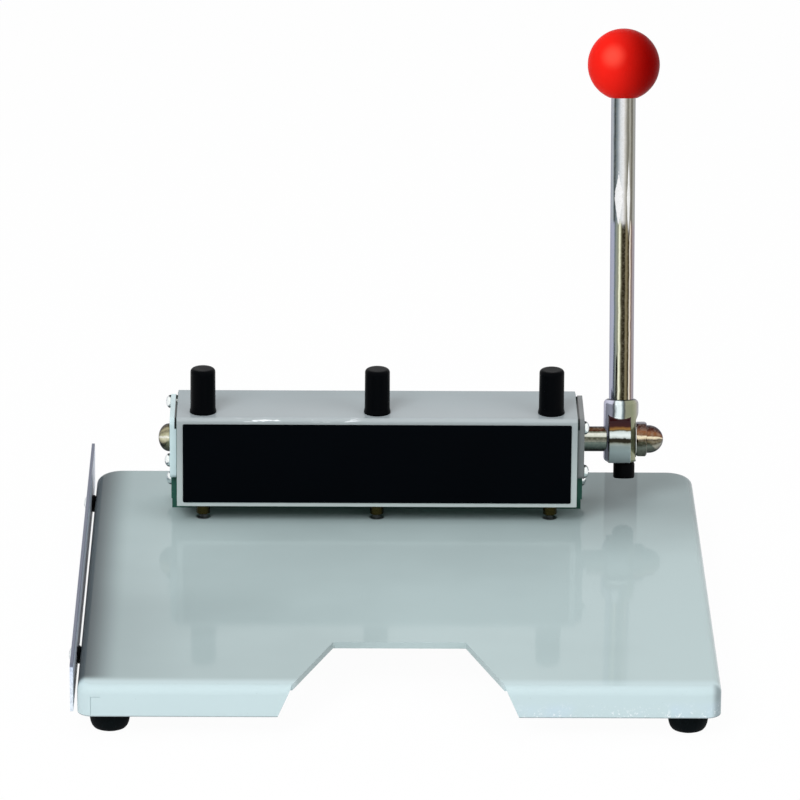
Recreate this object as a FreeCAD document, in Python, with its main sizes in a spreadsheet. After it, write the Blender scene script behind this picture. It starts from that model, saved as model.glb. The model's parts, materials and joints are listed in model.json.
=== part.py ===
"""Three-hole paper punch with a lever: a desk machine that holes a sheet at three places at once.

X is to the right, Y to the back, Z up. The origin is on the desk, under the middle of the
machine's outline. The pieces are laid out from the middle of the base plate, and each one's
Placement moves it by outline_x and outline_y from there. All sizes are in millimetres.
"""
import FreeCAD, Part
import math
import os
import Sketcher

doc = FreeCAD.newDocument("paper_punch")
dim = doc.addObject("Spreadsheet::Sheet", "dim")

DRIVING_DIMENSIONS = {
    # base plate: a folded sheet-metal tray, open underneath
    "base_width": 296.8,
    "base_depth": 292.6,
    "base_top": 25.3,
    "skirt_height": 14.9,
    "base_sheet": 3.2,
    "base_bend": 4,
    "front_corner": 7,
    "rear_corner": 13,
    "notch_back": 62,
    "notch_front": 97.7,
    "notch_foot": 111,
    "notch_depth": 57,
    "notch_back_x": 0.4,
    "notch_front_x": -0.5,
    # rubber feet and their screws
    "foot_top": 19.4,
    "foot_bottom": 18,
    "foot_round": 2,
    "foot_inset": 14.7,
    "foot_counterbore": 10,
    "foot_counterbore_depth": 6,
    "foot_screw_head": 8,
    "foot_screw_head_height": 2.8,
    "weld_nut_diameter": 9,
    "weld_nut_height": 4,
    # from the middle of the outline to the middle of the base plate
    "outline_x": 2.85,
    "outline_y": -9.1,
    # punching head: where it stands on the base
    "head_x": -9.4,
    "head_front": 67.7,
    # cover: an inverted channel of thin sheet over the casting
    "head_length": 195.4,
    "head_depth": 43.6,
    "head_height": 45.5,
    "throat": 9.1,
    "cover_sheet": 1.2,
    "cover_bend": 2,
    "label_length": 189.5,
    "label_height": 40.5,
    "label_bottom": 11.2,
    "label_thick": 0.4,
    # casting that carries the punches and the shaft
    "frame_length": 201,
    "frame_front": 2,
    "frame_back": 42.2,
    "frame_underside": 11,
    "frame_floor": 5.5,
    "stop_face": 23,
    "roof_thick": 6.3,
    "roof_back": 18,
    "rib_thick": 6,
    "end_wall": 8.5,
    "plate_seat": 2.6,
    "plate_seat_gap": 0.2,
    "lug_front": 6.5,
    # punches
    "hole_pitch": 85,
    "punch_behind": 10.5,
    "ram_diameter": 9,
    "ram_length": 40,
    "ram_bottom": 30,
    "ram_flat": 4.3,
    "ram_chamfer": 0.8,
    "ram_well_gap": 0.8,
    "rack_line": 3.5,
    "socket_depth": 6,
    "blade_diameter": 5,
    "blade_tip": 11.4,
    "blade_hollow": 1.2,
    "blade_fit": 0.04,
    "ram_fit": 0.08,
    "guide_diameter": 6.8,
    "guide_grip": 3.2,
    "guide_bottom": 2.3,
    "die_neck": 7.4,
    "die_body": 10,
    "die_flange": 12,
    "die_flange_thick": 2,
    "die_fit": 0.08,
    "die_relief": 6.5,
    "die_land": 4,
    # caps over the punches
    "cap_diameter": 12.3,
    "cap_brim": 13.1,
    "cap_brim_height": 1.2,
    "cap_height": 22.3,
    "cap_seat": 3,
    "cap_wall": 0.9,
    "cap_round": 1.2,
    "cap_slope": 0.8,
    "cap_hole_gap": 0.4,
    # die bar under the base
    "die_bar_front": 69,
    "die_bar_depth": 41.7,
    "die_bar_thick": 6,
    "frame_bolt_behind": 35.3,
    "frame_bolt_length": 22,
    "frame_bolt_hole": 15,
    "bolt_head": 10,
    "bolt_head_height": 6,
    "bolt_socket": 5,
    "bolt_socket_depth": 3,
    # drive
    "shaft_diameter": 12.3,
    "shaft_behind": 34.5,
    "shaft_height": 32.5,
    "shaft_fit": 0.05,
    "journal_diameter": 10,
    "journal_beyond_hub": 10,
    "bush_diameter": 13.6,
    "tooth_module": 1,
    "tooth_count": 41,
    "tooth_head": 0.9,
    "tooth_foot": 1.2,
    "backlash": 0.3,
    "sector_thick": 9,
    "sector_hub_diameter": 15,
    "sector_hub_length": 19,
    "sector_pin_diameter": 3,
    "sector_pin_offset": 10,
    "sector_pin_recess": 0.3,
    # side plates of the head
    "plate_thick": 3.2,
    "plate_top": 53.4,
    "plate_front_bottom": 22.7,
    "plate_rear_bottom": 4,
    "plate_leg_front": 31,
    "plate_round": 3,
    "plate_slope_run": 4,
    "plate_slope_drop": 6,
    "plate_shaft_gap": 0.7,
    # lever
    "lean": 14,
    "lever_x": 120.3,
    "hub_diameter": 17.2,
    "hub_below": 11.2,
    "hub_above": 19.9,
    "hub_round": 2.4,
    "boss_diameter": 27,
    "boss_left": 6.4,
    "boss_right": 4.4,
    "hub_face": 7,
    "hub_screw_top": 4,
    "hub_screw_offset": 1.6,
    "hub_screw_length": 6,
    "hub_screw_head": 10.5,
    "hub_screw_head_height": 8,
    "hex_socket_radius": 2.9,
    "hex_socket_depth": 3.2,
    "nut_seat": 21,
    "rod_diameter": 12,
    "rod_start": 7.5,
    "rod_neck": 8,
    "knob_height": 184.4,
    "knob_diameter": 35.4,
    "knob_shoulder": 13.5,
    "knob_thread": 12,
    "knob_mouth": 6,
    "nut_flats": 16,
    "nut_height": 5.2,
    "nut_dome": 13.7,
    "nut_total": 13.4,
    "nut_turn": 12,
    "nut_top_wall": 2,
    "dome_start": 1,
    "washer_rim": 2,
    "washer_thick": 0.4,
    "end_cap_diameter": 13.8,
    "end_cap_length": 6,
    "end_cap_depth": 2,
    "end_cap_gap": 0.3,
    # paper guide along the left side
    "guide_front": -141.3,
    "guide_back": 158.7,
    "guide_rise": 9,
    "guide_height": 23.3,
    "guide_thick": 1.5,
    "guide_gap": 1.8,
    "guide_round": 1,
    "guide_rear_screw": 113.7,
    "guide_front_screw": -89.3,
    "guide_screw_drop": 6.7,
    "guide_screw_grip": 6.5,
    "guide_head": 8,
    "guide_head_height": 2.4,
    "guide_nut": 6.8,
    "guide_nut_thick": 3,
    "spacer_diameter": 8.5,
    # chip tray
    "tray_length": 196,
    "tray_front": 71.7,
    "tray_depth": 69,
    "tray_bottom": 2,
    "tray_top": 9,
    "tray_sheet": 0.8,
    "tray_flange": 4,
    "tray_lip": 6,
    "rail_sheet": 1,
    "rail_gap": 0.2,
    "rail_side_gap": 0.3,
    "rail_lip_gap": 0.4,
    # common screws and fits; fits are on the diameter unless they are called a gap
    "screw_small": 4,
    "screw_large": 6,
    "screw_fit": 0.1,
    "pan_head": 7,
    "pan_head_height": 2.6,
    "pan_round": 1.6,
    "pan_grip": 5.5,
    "close_fit": 0.04,
    "easy_fit": 0.1,
    # how far a cut starts outside the metal
    "overshoot": 1,
}

# Frequently used places, as formulas on the sheet.
PUNCH_Y = "(dim.head_front + dim.punch_behind)"
SHAFT_Y = "(dim.head_front + dim.shaft_behind)"
SHAFT_Z = "(dim.base_top + dim.shaft_height)"
COVER_TOP = "(dim.throat + dim.head_height)"
FRAME_TOP = "(dim.throat + dim.head_height - dim.cover_sheet)"
FRAME_HALF = "(dim.frame_length / 2)"
PLATE_SEAT = "(dim.frame_length / 2 - dim.plate_seat)"
LEVER_X = "(dim.head_x + dim.lever_x)"
BASE_UNDERSIDE = "(dim.base_top - dim.base_sheet)"
DIE_BAR_UNDERSIDE = "(dim.base_top - dim.base_sheet - dim.die_bar_thick)"
PITCH_RADIUS = "(dim.tooth_module * dim.tooth_count / 2)"
TOOTH_ANGLE = "(360 / dim.tooth_count)"
TOOTH_PITCH = "(pi * dim.tooth_module)"

SIDES = {"left": -1, "centre": 0, "right": 1}
RACK_GAPS = 8
SECTOR_GAPS = 8
PRESSURE_ANGLE = 20
# Half of a sector's tooth gap: height above the pitch circle, half width in quarter pitches.
TOOTH_GAP = ((-1.25, 0.64), (-0.9, 0.68), (0, 1), (1.2, 1.68))
# Middle of the lowest gap and both ends of the fan of teeth, in tooth angles from forward.
FIRST_GAP = -0.5
FAN_START = -0.4
FAN_END = 6.4
# Reach of the waste around the fan, and of its foremost corner, in tip radii.
WASTE_REACH = 1.6
WASTE_LEAD = 0.64
# Leg of the chamfer that touches the middle of a rounded corner, for a radius of one.
CORNER_LEG = 2 - math.sqrt(2)
DOME_ANGLES = range(10, 90, 10)
SAME = 1e-6
FRAME_BOLTS = (-88, -30, 30, 88)
PLATE_SCREWS = {
    "left": ((38.5, 49.8), (6, 31), (38, 10)),
    "right": ((8, 47.7), (6, 25.8), (38, 10)),
}
ALONG = {
    "X": FreeCAD.Rotation(FreeCAD.Vector(0, 1, 0), 90),
    "Z": FreeCAD.Rotation(),
}
nodes = []


def fill_sheet():
    """Write each driving dimension as text in its own cell, with its name as alias."""
    for row, (alias, size) in enumerate(DRIVING_DIMENSIONS.items(), start=1):
        dim.set(f"A{row}", alias)
        dim.set(f"B{row}", str(size))
        dim.setAlias(f"B{row}", alias)
    doc.recompute()


def number(formula):
    """Value of a formula on the sheet."""
    return float(dim.evalExpression(str(formula)))


def bind(item, **formulas):
    """Bind properties of an object to formulas on the sheet."""
    for name, formula in formulas.items():
        item.setExpression(name, str(formula))


def place(item, x="0", y="0", z="0", turn=None):
    """Give an object its place, bound to the sheet, and its fixed rotation."""
    item.Placement = FreeCAD.Placement(FreeCAD.Vector(), turn or FreeCAD.Rotation())
    for axis, formula in zip("xyz", (x, y, z)):
        item.setExpression(f"Placement.Base.{axis}", str(formula))


def finish(item, label):
    """Name a sub-part, move it into the machine's frame and put it on the list to write."""
    stated = {path.lstrip("."): formula for path, formula in item.ExpressionEngine}
    for axis in "xy":
        path = f"Placement.Base.{axis}"
        item.setExpression(path, f"{stated.get(path, 0)} + dim.outline_{axis}")
    item.Label = label
    nodes.append(item)
    return item


def lever_frame(item):
    """Stand an object on the lever: origin on the shaft, Z along the rod, leaning back."""
    place(item, LEVER_X, SHAFT_Y, SHAFT_Z, FreeCAD.Rotation(FreeCAD.Vector(-1, 0, 0),
                                                    number("dim.lean")))
    item.setExpression("Placement.Rotation.Angle", "dim.lean")


# ---------------------------------------------------------------- primitives and booleans


def cylinder(name, diameter, length, x="0", y="0", z="0", axis="Z"):
    """Cylinder that starts at the place given and runs along the axis."""
    item = doc.addObject("Part::Cylinder", name)
    bind(item, Radius=f"({diameter}) / 2", Height=length)
    place(item, x, y, z, ALONG[axis])
    return item


def box(name, size, x="0", y="0", z="0"):
    """Box from its lowest corner."""
    item = doc.addObject("Part::Box", name)
    bind(item, Length=size[0], Width=size[1], Height=size[2])
    place(item, x, y, z)
    return item


def fuse(name, items):
    """One solid from several."""
    item = doc.addObject("Part::MultiFuse", name)
    item.Shapes = items
    return item


def cut(name, solid, tools):
    """A solid less one or several tools."""
    item = doc.addObject("Part::Cut", name)
    item.Base = solid
    item.Tool = tools[0] if len(tools) == 1 else fuse(f"{name}_tools", tools)
    return item


def round_solid(name, solid, radius, test):
    """Fillet on the edges of a plain solid that pass a test."""
    doc.recompute()
    rounded = doc.addObject("Part::Fillet", name)
    rounded.Base = solid
    size = number(radius)
    rounded.Edges = [(i, size, size) for i, edge in enumerate(solid.Shape.Edges, start=1)
                     if test(edge)]
    return rounded


def group(name, items):
    """Identical pieces kept together as separate solids."""
    item = doc.addObject("Part::Compound", name)
    item.Links = items
    return item


def edges_where(shape, test):
    """Names of the edges that pass a test."""
    return [f"Edge{i}" for i, edge in enumerate(shape.Edges, start=1) if test(edge)]


def runs_along(edge, axis):
    """True for a straight edge along one of the axes."""
    run = edge.Vertexes[-1].Point - edge.Vertexes[0].Point
    along = abs(getattr(run, axis.lower()))
    return isinstance(edge.Curve, Part.Line) and along > SAME and run.Length - along < SAME


def at_height(edge, height):
    """True for an edge whose middle is at a height."""
    return abs(edge.CenterOfMass.z - height) < SAME


# ---------------------------------------------------------------- sketched bodies


def new_body(name):
    """PartDesign body that becomes one sub-part."""
    return doc.addObject("PartDesign::Body", name)


def new_sketch(body, plane, name, offset="0"):
    """Sketch on one of the body's own origin planes, moved along the plane's normal."""
    sketch = body.newObject("Sketcher::SketchObject", name)
    support = next(f for f in body.Origin.OriginFeatures if f.Role == f"{plane}_Plane")
    sketch.AttachmentSupport = [(support, "")]
    sketch.MapMode = "FlatFace"
    sketch.setExpression("AttachmentOffset.Base.z", str(offset))
    return sketch


def fix_point(sketch, curve, end, x, y):
    """Tie a point of a sketch to formulas for its two coordinates."""
    for kind, formula in (("DistanceX", x), ("DistanceY", y)):
        index = sketch.addConstraint(Sketcher.Constraint(kind, -1, 1, curve, end, number(formula)))
        sketch.setExpression(f"Constraints[{index}]", str(formula))


def draw_polygon(sketch, corners):
    """Closed outline through corners that are pairs of formulas."""
    points = [FreeCAD.Vector(number(x), number(y), 0) for x, y in corners]
    first = sketch.GeometryCount
    count = len(points)
    for i in range(count):
        sketch.addGeometry(Part.LineSegment(points[i], points[(i + 1) % count]))
    for i in range(count):
        following = first + (i + 1) % count
        sketch.addConstraint(Sketcher.Constraint("Coincident", first + i, 2, following, 1))
    for i, (x, y) in enumerate(corners):
        fix_point(sketch, first + i, 1, x, y)


def draw_rectangle(sketch, left, bottom, right, top):
    """Rectangle from the formulas of its four sides."""
    draw_polygon(sketch, ((left, bottom), (right, bottom), (right, top), (left, top)))


def draw_circle(sketch, diameter, x="0", y="0"):
    """Circle from the formulas of its diameter and centre."""
    centre = FreeCAD.Vector(number(x), number(y), 0)
    radius = number(diameter) / 2
    curve = sketch.addGeometry(Part.Circle(centre, FreeCAD.Vector(0, 0, 1), radius))
    fix_point(sketch, curve, 3, x, y)
    index = sketch.addConstraint(Sketcher.Constraint("Diameter", curve, 2 * radius))
    sketch.setExpression(f"Constraints[{index}]", str(diameter))


def pad(body, sketch, length, symmetric=False, backwards=False):
    """Extrusion of a sketch along its plane's normal."""
    item = body.newObject("PartDesign::Pad", f"{sketch.Name}_pad")
    item.Profile = sketch
    item.SideType = "Symmetric" if symmetric else "One side"
    item.Reversed = backwards
    bind(item, Length=length)
    return item


def pocket(body, sketch, depth=None, symmetric=False, backwards=False):
    """Removal along a sketch's normal, backwards from it unless told otherwise."""
    before = volume_of(body)
    item = body.newObject("PartDesign::Pocket", f"{sketch.Name}_pocket")
    item.Profile = sketch
    item.SideType = "Symmetric" if symmetric or depth is None else "One side"
    item.Reversed = backwards
    bind(item, Length=depth or "2 * dim.base_width")
    doc.recompute()
    if item.Shape.Volume > before - SAME:
        raise ValueError(f"{item.Name} removes nothing")
    return item


def volume_of(body):
    """Volume of the body so far."""
    doc.recompute()
    return body.Shape.Volume


def revolve(body, sketch):
    """Full turn of a sketch about its own upright axis."""
    item = body.newObject("PartDesign::Revolution", f"{sketch.Name}_turned")
    item.Profile = sketch
    item.ReferenceAxis = (sketch, ["V_Axis"])
    item.Angle = 360
    return item


def round_edges(body, base, radius, test):
    """Fillet on the edges of the last feature that pass a test."""
    doc.recompute()
    item = body.newObject("PartDesign::Fillet", f"{base.Name}_round")
    item.Base = (base, edges_where(base.Shape, test))
    bind(item, Radius=radius)
    return item


# ---------------------------------------------------------------- base and what hangs under it


def make_base_tray():
    """Folded tray with rounded corners, a hand notch in front and holes for the dies and bolts."""
    body = new_body("base_tray_body")
    half_width = "dim.base_width / 2"
    half_depth = "dim.base_depth / 2"
    outline = new_sketch(body, "XY", "base_outline")
    draw_rectangle(outline, f"-{half_width}", f"-{half_depth}", half_width, half_depth)
    block = pad(body, outline, "dim.skirt_height")
    front = round_edges(body, block, "dim.front_corner",
                        lambda e: runs_along(e, "Z") and e.CenterOfMass.y < 0)
    rear = round_edges(body, front, "dim.rear_corner",
                       lambda e: runs_along(e, "Z") and e.CenterOfMass.y > 0 and
                       abs(e.CenterOfMass.x) > number(half_width) - SAME)
    round_edges(body, rear, "dim.base_bend",
                lambda e: at_height(e, number("dim.skirt_height")))

    inside = new_sketch(body, "XY", "base_inside", "-dim.overshoot")
    draw_cut_corners(inside, "dim.front_corner - dim.base_sheet", "dim.rear_corner - dim.base_sheet")
    pocket(body, inside, "dim.skirt_height - dim.base_sheet + dim.overshoot", backwards=True)

    front_edge = f"-{half_depth}"
    notch = new_sketch(body, "XY", "hand_notch", "dim.skirt_height + dim.overshoot")
    flare = "(dim.notch_front - dim.notch_back) / 2 / dim.notch_depth * dim.overshoot"
    draw_polygon(notch, (
        ("dim.notch_back_x - dim.notch_back / 2", f"{front_edge} + dim.notch_depth"),
        ("dim.notch_back_x + dim.notch_back / 2", f"{front_edge} + dim.notch_depth"),
        (f"dim.notch_front_x + dim.notch_front / 2 + {flare}", f"{front_edge} - dim.overshoot"),
        (f"dim.notch_front_x - dim.notch_front / 2 - {flare}", f"{front_edge} - dim.overshoot"),
    ))
    pocket(body, notch, "dim.skirt_height + 2 * dim.overshoot")
    skirt_cut = new_sketch(body, "XZ", "hand_notch_in_skirt", f"{half_depth} + dim.overshoot")
    draw_polygon(skirt_cut, (
        ("dim.notch_front_x - dim.notch_foot / 2", "-dim.overshoot"),
        ("dim.notch_front_x + dim.notch_foot / 2", "-dim.overshoot"),
        ("dim.notch_front_x + dim.notch_front / 2", "dim.skirt_height + dim.overshoot"),
        ("dim.notch_front_x - dim.notch_front / 2", "dim.skirt_height + dim.overshoot"),
    ))
    pocket(body, skirt_cut, "dim.base_sheet + 2 * dim.overshoot")

    holes = new_sketch(body, "XY", "die_and_bolt_holes", "dim.skirt_height + dim.overshoot")
    for side in SIDES.values():
        draw_circle(holes, "dim.die_neck", f"dim.head_x + {side} * dim.hole_pitch", PUNCH_Y)
    for x in FRAME_BOLTS:
        draw_circle(holes, "dim.screw_large + 2 * dim.screw_fit", f"dim.head_x + {x}",
                    "dim.head_front + dim.frame_bolt_behind")
    pocket(body, holes, "dim.base_sheet + 2 * dim.overshoot")

    guide_holes = new_sketch(body, "YZ", "guide_screw_holes", f"-{half_width} - dim.overshoot")
    for y in ("dim.guide_front_screw", "dim.guide_rear_screw"):
        draw_circle(guide_holes, "dim.screw_small + 2 * dim.screw_fit", y,
                    "dim.skirt_height - dim.guide_screw_drop")
    pocket(body, guide_holes, "dim.base_sheet + 2 * dim.overshoot", backwards=True)
    place(body, z="dim.base_top - dim.skirt_height")
    finish(body, "base_tray")


def draw_cut_corners(sketch, front_cut, rear_cut):
    """Inner outline of the tray, its corners taken off so that the wall keeps its thickness."""
    x = "(dim.base_width / 2 - dim.base_sheet)"
    y = "(dim.base_depth / 2 - dim.base_sheet)"
    front = f"({front_cut}) * {CORNER_LEG}"
    rear = f"({rear_cut}) * {CORNER_LEG}"
    draw_polygon(sketch, (
        (f"-{x}", f"-{y} + {front}"), (f"-{x} + {front}", f"-{y}"),
        (f"{x} - {front}", f"-{y}"), (x, f"-{y} + {front}"),
        (x, f"{y} - {rear}"), (f"{x} - {rear}", y),
        (f"-{x} + {rear}", y), (f"-{x}", f"{y} - {rear}"),
    ))


def foot_places():
    """Formulas of the four feet's axes, as pairs."""
    x = "(dim.base_width / 2 - dim.foot_inset)"
    y = "(dim.base_depth / 2 - dim.foot_inset)"
    return [(f"{i} * {x}", f"{j} * {y}") for i in (-1, 1) for j in (-1, 1)]


def make_feet():
    """Rubber feet, each with a counterbored screw and a nut welded under the base."""
    feet = []
    screws = []
    nuts = []
    for i, (x, y) in enumerate(foot_places(), start=1):
        cone = doc.addObject("Part::Cone", f"foot_cone_{i}")
        bind(cone, Radius1="dim.foot_bottom / 2", Radius2="dim.foot_top / 2", Height=BASE_UNDERSIDE)
        place(cone, x, y)
        rounded = round_solid(f"foot_round_{i}", cone, "dim.foot_round", lambda e: at_height(e, 0))
        bore = cylinder(f"foot_bore_{i}", "dim.screw_small + 2 * dim.screw_fit", BASE_UNDERSIDE, x, y)
        well = cylinder(f"foot_well_{i}", "dim.foot_counterbore", "dim.foot_counterbore_depth", x, y)
        top = f"{BASE_UNDERSIDE} - dim.weld_nut_height"
        recess = cylinder(f"foot_recess_{i}", "dim.weld_nut_diameter + 2 * dim.screw_fit",
                          "dim.weld_nut_height", x, y, top)
        feet.append(cut(f"foot_{i}", rounded, [bore, well, recess]))

        head = cylinder(f"foot_screw_head_{i}", "dim.foot_screw_head", "dim.foot_screw_head_height",
                        x, y, "dim.foot_counterbore_depth - dim.foot_screw_head_height")
        shank = cylinder(f"foot_screw_shank_{i}", "dim.screw_small",
                         f"{BASE_UNDERSIDE} - dim.foot_counterbore_depth", x, y,
                         "dim.foot_counterbore_depth")
        screws.append(fuse(f"foot_screw_{i}", [head, shank]))

        nut = cylinder(f"weld_nut_{i}", "dim.weld_nut_diameter", "dim.weld_nut_height", x, y, top)
        thread = cylinder(f"weld_nut_thread_{i}", "dim.screw_small + 2 * dim.screw_fit",
                          "dim.weld_nut_height", x, y, top)
        nuts.append(cut(f"weld_nut_piece_{i}", nut, [thread]))
    finish(group("feet_group", feet), "rubber_feet")
    finish(group("foot_screw_group", screws), "foot_screws")
    finish(group("weld_nut_group", nuts), "foot_weld_nuts")


def make_die_bar():
    """Steel bar under the base that holds the dies and spreads the frame bolts' load."""
    bar = box("die_bar_block", ("dim.frame_length", "dim.die_bar_depth", "dim.die_bar_thick"),
              f"dim.head_x - {FRAME_HALF}", "dim.die_bar_front", DIE_BAR_UNDERSIDE)
    tools = []
    for side, step in SIDES.items():
        x = f"dim.head_x + {step} * dim.hole_pitch"
        tools.append(cylinder(f"die_seat_{side}", "dim.die_body + dim.close_fit",
                              "dim.die_bar_thick", x, PUNCH_Y, DIE_BAR_UNDERSIDE))
        tools.append(cylinder(f"die_flange_seat_{side}", "dim.die_flange + dim.easy_fit",
                              "dim.die_flange_thick", x, PUNCH_Y,
                              f"{BASE_UNDERSIDE} - dim.die_flange_thick"))
    for i, x in enumerate(FRAME_BOLTS, start=1):
        tools.append(cylinder(f"bolt_hole_{i}", "dim.screw_large + 2 * dim.screw_fit",
                              "dim.die_bar_thick", f"dim.head_x + {x}",
                              "dim.head_front + dim.frame_bolt_behind", DIE_BAR_UNDERSIDE))
    finish(cut("die_bar_cut", bar, tools), "die_bar")


def make_frame_bolts():
    """Socket head bolts from below, through die bar and base, into the casting."""
    bolts = []
    y = "dim.head_front + dim.frame_bolt_behind"
    for i, offset in enumerate(FRAME_BOLTS, start=1):
        x = f"dim.head_x + {offset}"
        bottom = f"{DIE_BAR_UNDERSIDE} - dim.bolt_head_height"
        head = cylinder(f"bolt_head_{i}", "dim.bolt_head", "dim.bolt_head_height", x, y, bottom)
        socket = cylinder(f"bolt_socket_{i}", "dim.bolt_socket", "dim.bolt_socket_depth",
                          x, y, bottom)
        shank = cylinder(f"bolt_shank_{i}", "dim.screw_large", "dim.frame_bolt_length",
                         x, y, DIE_BAR_UNDERSIDE)
        bolts.append(cut(f"bolt_{i}", fuse(f"bolt_solid_{i}", [head, shank]), [socket]))
    finish(group("bolt_group", bolts), "frame_bolts")


def make_dies():
    """Brass dies: a neck flush with the base, a flange held by the die bar, a relieved bore."""
    for side, step in SIDES.items():
        body = new_body(f"die_{side}_body")
        sketch = new_sketch(body, "XZ", f"die_{side}_section")
        bore = "(dim.blade_diameter / 2 + dim.die_fit)"
        neck = "(dim.die_neck / 2 - dim.close_fit / 2)"
        bottom = "-dim.base_sheet - dim.die_bar_thick"
        shoulder = "-dim.base_sheet"
        flange = "-dim.base_sheet - dim.die_flange_thick"
        draw_polygon(sketch, (
            (bore, "0"), (neck, "0"), (neck, shoulder),
            ("dim.die_flange / 2", shoulder), ("dim.die_flange / 2", flange),
            ("dim.die_body / 2", flange), ("dim.die_body / 2", bottom),
            ("dim.die_relief / 2", bottom), ("dim.die_relief / 2", "-dim.die_land"),
            (bore, "-dim.die_land"),
        ))
        revolve(body, sketch)
        place(body, f"dim.head_x + {step} * dim.hole_pitch", PUNCH_Y, "dim.base_top")
        finish(body, f"die_{side}")


# ---------------------------------------------------------------- punching head


def place_on_head(item):
    """Head pieces share one local frame: head's middle, cover's front face, base's top face."""
    place(item, "dim.head_x", "dim.head_front", "dim.base_top")


def bay_limits():
    """Left and right formulas of the three open bays of the casting."""
    inner = "(dim.hole_pitch / 2 - dim.rib_thick / 2)"
    outer = "(dim.hole_pitch / 2 + dim.rib_thick / 2)"
    end = f"({FRAME_HALF} - dim.end_wall)"
    return ((f"-{end}", f"-{outer}"), (f"-{inner}", inner), (outer, end))


def make_frame_casting():
    """Casting: rear foot, floor over the paper throat, four walls and a roof over the punches."""
    body = new_body("frame_casting_body")
    floor_top = "(dim.frame_underside + dim.frame_floor)"
    roof_bottom = f"({FRAME_TOP} - dim.roof_thick)"
    profile = new_sketch(body, "YZ", "frame_profile")
    draw_polygon(profile, (
        ("dim.frame_front", "dim.frame_underside"), ("dim.stop_face", "dim.frame_underside"),
        ("dim.stop_face", "0"), ("dim.frame_back", "0"),
        ("dim.frame_back", FRAME_TOP), ("dim.frame_front", FRAME_TOP),
    ))
    pad(body, profile, "dim.frame_length", symmetric=True)

    bays = new_sketch(body, "XZ", "frame_bays")
    for left, right in bay_limits():
        draw_rectangle(bays, left, floor_top, right, roof_bottom)
    pocket(body, bays)
    rear = new_sketch(body, "XY", "frame_roof_cut", f"{FRAME_TOP} + dim.overshoot")
    for left, right in bay_limits():
        draw_rectangle(rear, left, "dim.roof_back", right, "dim.frame_back + dim.overshoot")
    pocket(body, rear, "dim.roof_thick + 2 * dim.overshoot")

    gap = "dim.plate_seat_gap"
    for side, step in (("left", -1), ("right", 1)):
        seat = new_sketch(body, "YZ", f"plate_seat_{side}", f"{step} * {PLATE_SEAT}")
        draw_polygon(seat, (
            ("dim.frame_front - dim.overshoot", "-dim.overshoot"),
            ("dim.lug_front", "-dim.overshoot"),
            ("dim.lug_front", f"dim.plate_front_bottom - {gap}"),
            (f"dim.plate_leg_front - dim.plate_slope_run - {gap}", f"dim.plate_front_bottom - {gap}"),
            (f"dim.plate_leg_front - {gap}", f"dim.plate_front_bottom - dim.plate_slope_drop - {gap}"),
            (f"dim.plate_leg_front - {gap}", "-dim.overshoot"),
            ("dim.frame_back + dim.overshoot", "-dim.overshoot"),
            ("dim.frame_back + dim.overshoot", f"{FRAME_TOP} + dim.overshoot"),
            ("dim.frame_front - dim.overshoot", f"{FRAME_TOP} + dim.overshoot"),
        ))
        pocket(body, seat, "dim.plate_seat + dim.overshoot", backwards=side == "right")

    for name, diameter, top, depth in (
            ("cap_seats", "dim.cap_diameter + dim.easy_fit", FRAME_TOP, "dim.cap_seat"),
            ("ram_bores", "dim.ram_diameter + 2 * dim.ram_fit", FRAME_TOP, "dim.roof_thick"),
            ("ram_wells", "dim.ram_diameter + dim.ram_well_gap", floor_top,
             "dim.frame_floor - dim.guide_grip"),
            ("bush_bores", "dim.guide_diameter + dim.close_fit",
             f"{floor_top} - dim.overshoot", "dim.frame_floor")):
        sketch = new_sketch(body, "XY", name, top)
        for step in SIDES.values():
            draw_circle(sketch, diameter, f"{step} * dim.hole_pitch", "dim.punch_behind")
        pocket(body, sketch, depth)

    shaft_bore = new_sketch(body, "YZ", "shaft_bore")
    draw_circle(shaft_bore, "dim.bush_diameter + dim.close_fit", "dim.shaft_behind",
                "dim.shaft_height")
    pocket(body, shaft_bore)
    bolts = new_sketch(body, "XY", "frame_bolt_holes", "-dim.overshoot")
    for x in FRAME_BOLTS:
        draw_circle(bolts, "dim.screw_large + 2 * dim.screw_fit", x, "dim.frame_bolt_behind")
    pocket(body, bolts, "dim.frame_bolt_hole + dim.overshoot", backwards=True)
    for side, step in (("left", -1), ("right", 1)):
        sketch = new_sketch(body, "YZ", f"plate_screw_holes_{side}",
                            f"{step} * ({FRAME_HALF} + dim.overshoot)")
        for y, z in PLATE_SCREWS[side]:
            draw_circle(sketch, "dim.screw_small + 2 * dim.screw_fit", y, z)
        pocket(body, sketch, "dim.end_wall + 2 * dim.overshoot", backwards=side == "left")
    place_on_head(body)
    finish(body, "frame_casting")


def make_head_cover():
    """Cover: an inverted channel with three holes for the punch caps."""
    body = new_body("head_cover_body")
    outer = new_sketch(body, "YZ", "cover_outside")
    draw_rectangle(outer, "0", "dim.throat", "dim.head_depth", COVER_TOP)
    block = pad(body, outer, "dim.head_length", symmetric=True)
    top = number(COVER_TOP)
    round_edges(body, block, "dim.cover_bend", lambda e: runs_along(e, "X") and at_height(e, top))
    inner = new_sketch(body, "YZ", "cover_inside")
    draw_rectangle(inner, "dim.cover_sheet", "dim.throat - dim.overshoot",
                   "dim.head_depth - dim.cover_sheet", FRAME_TOP)
    pocket(body, inner)
    holes = new_sketch(body, "XY", "cap_holes", f"{COVER_TOP} + dim.overshoot")
    for step in SIDES.values():
        draw_circle(holes, "dim.cap_diameter + dim.cap_hole_gap", f"{step} * dim.hole_pitch",
                    "dim.punch_behind")
    pocket(body, holes, "dim.cover_sheet + 2 * dim.overshoot")
    place_on_head(body)
    finish(body, "head_cover")


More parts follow.
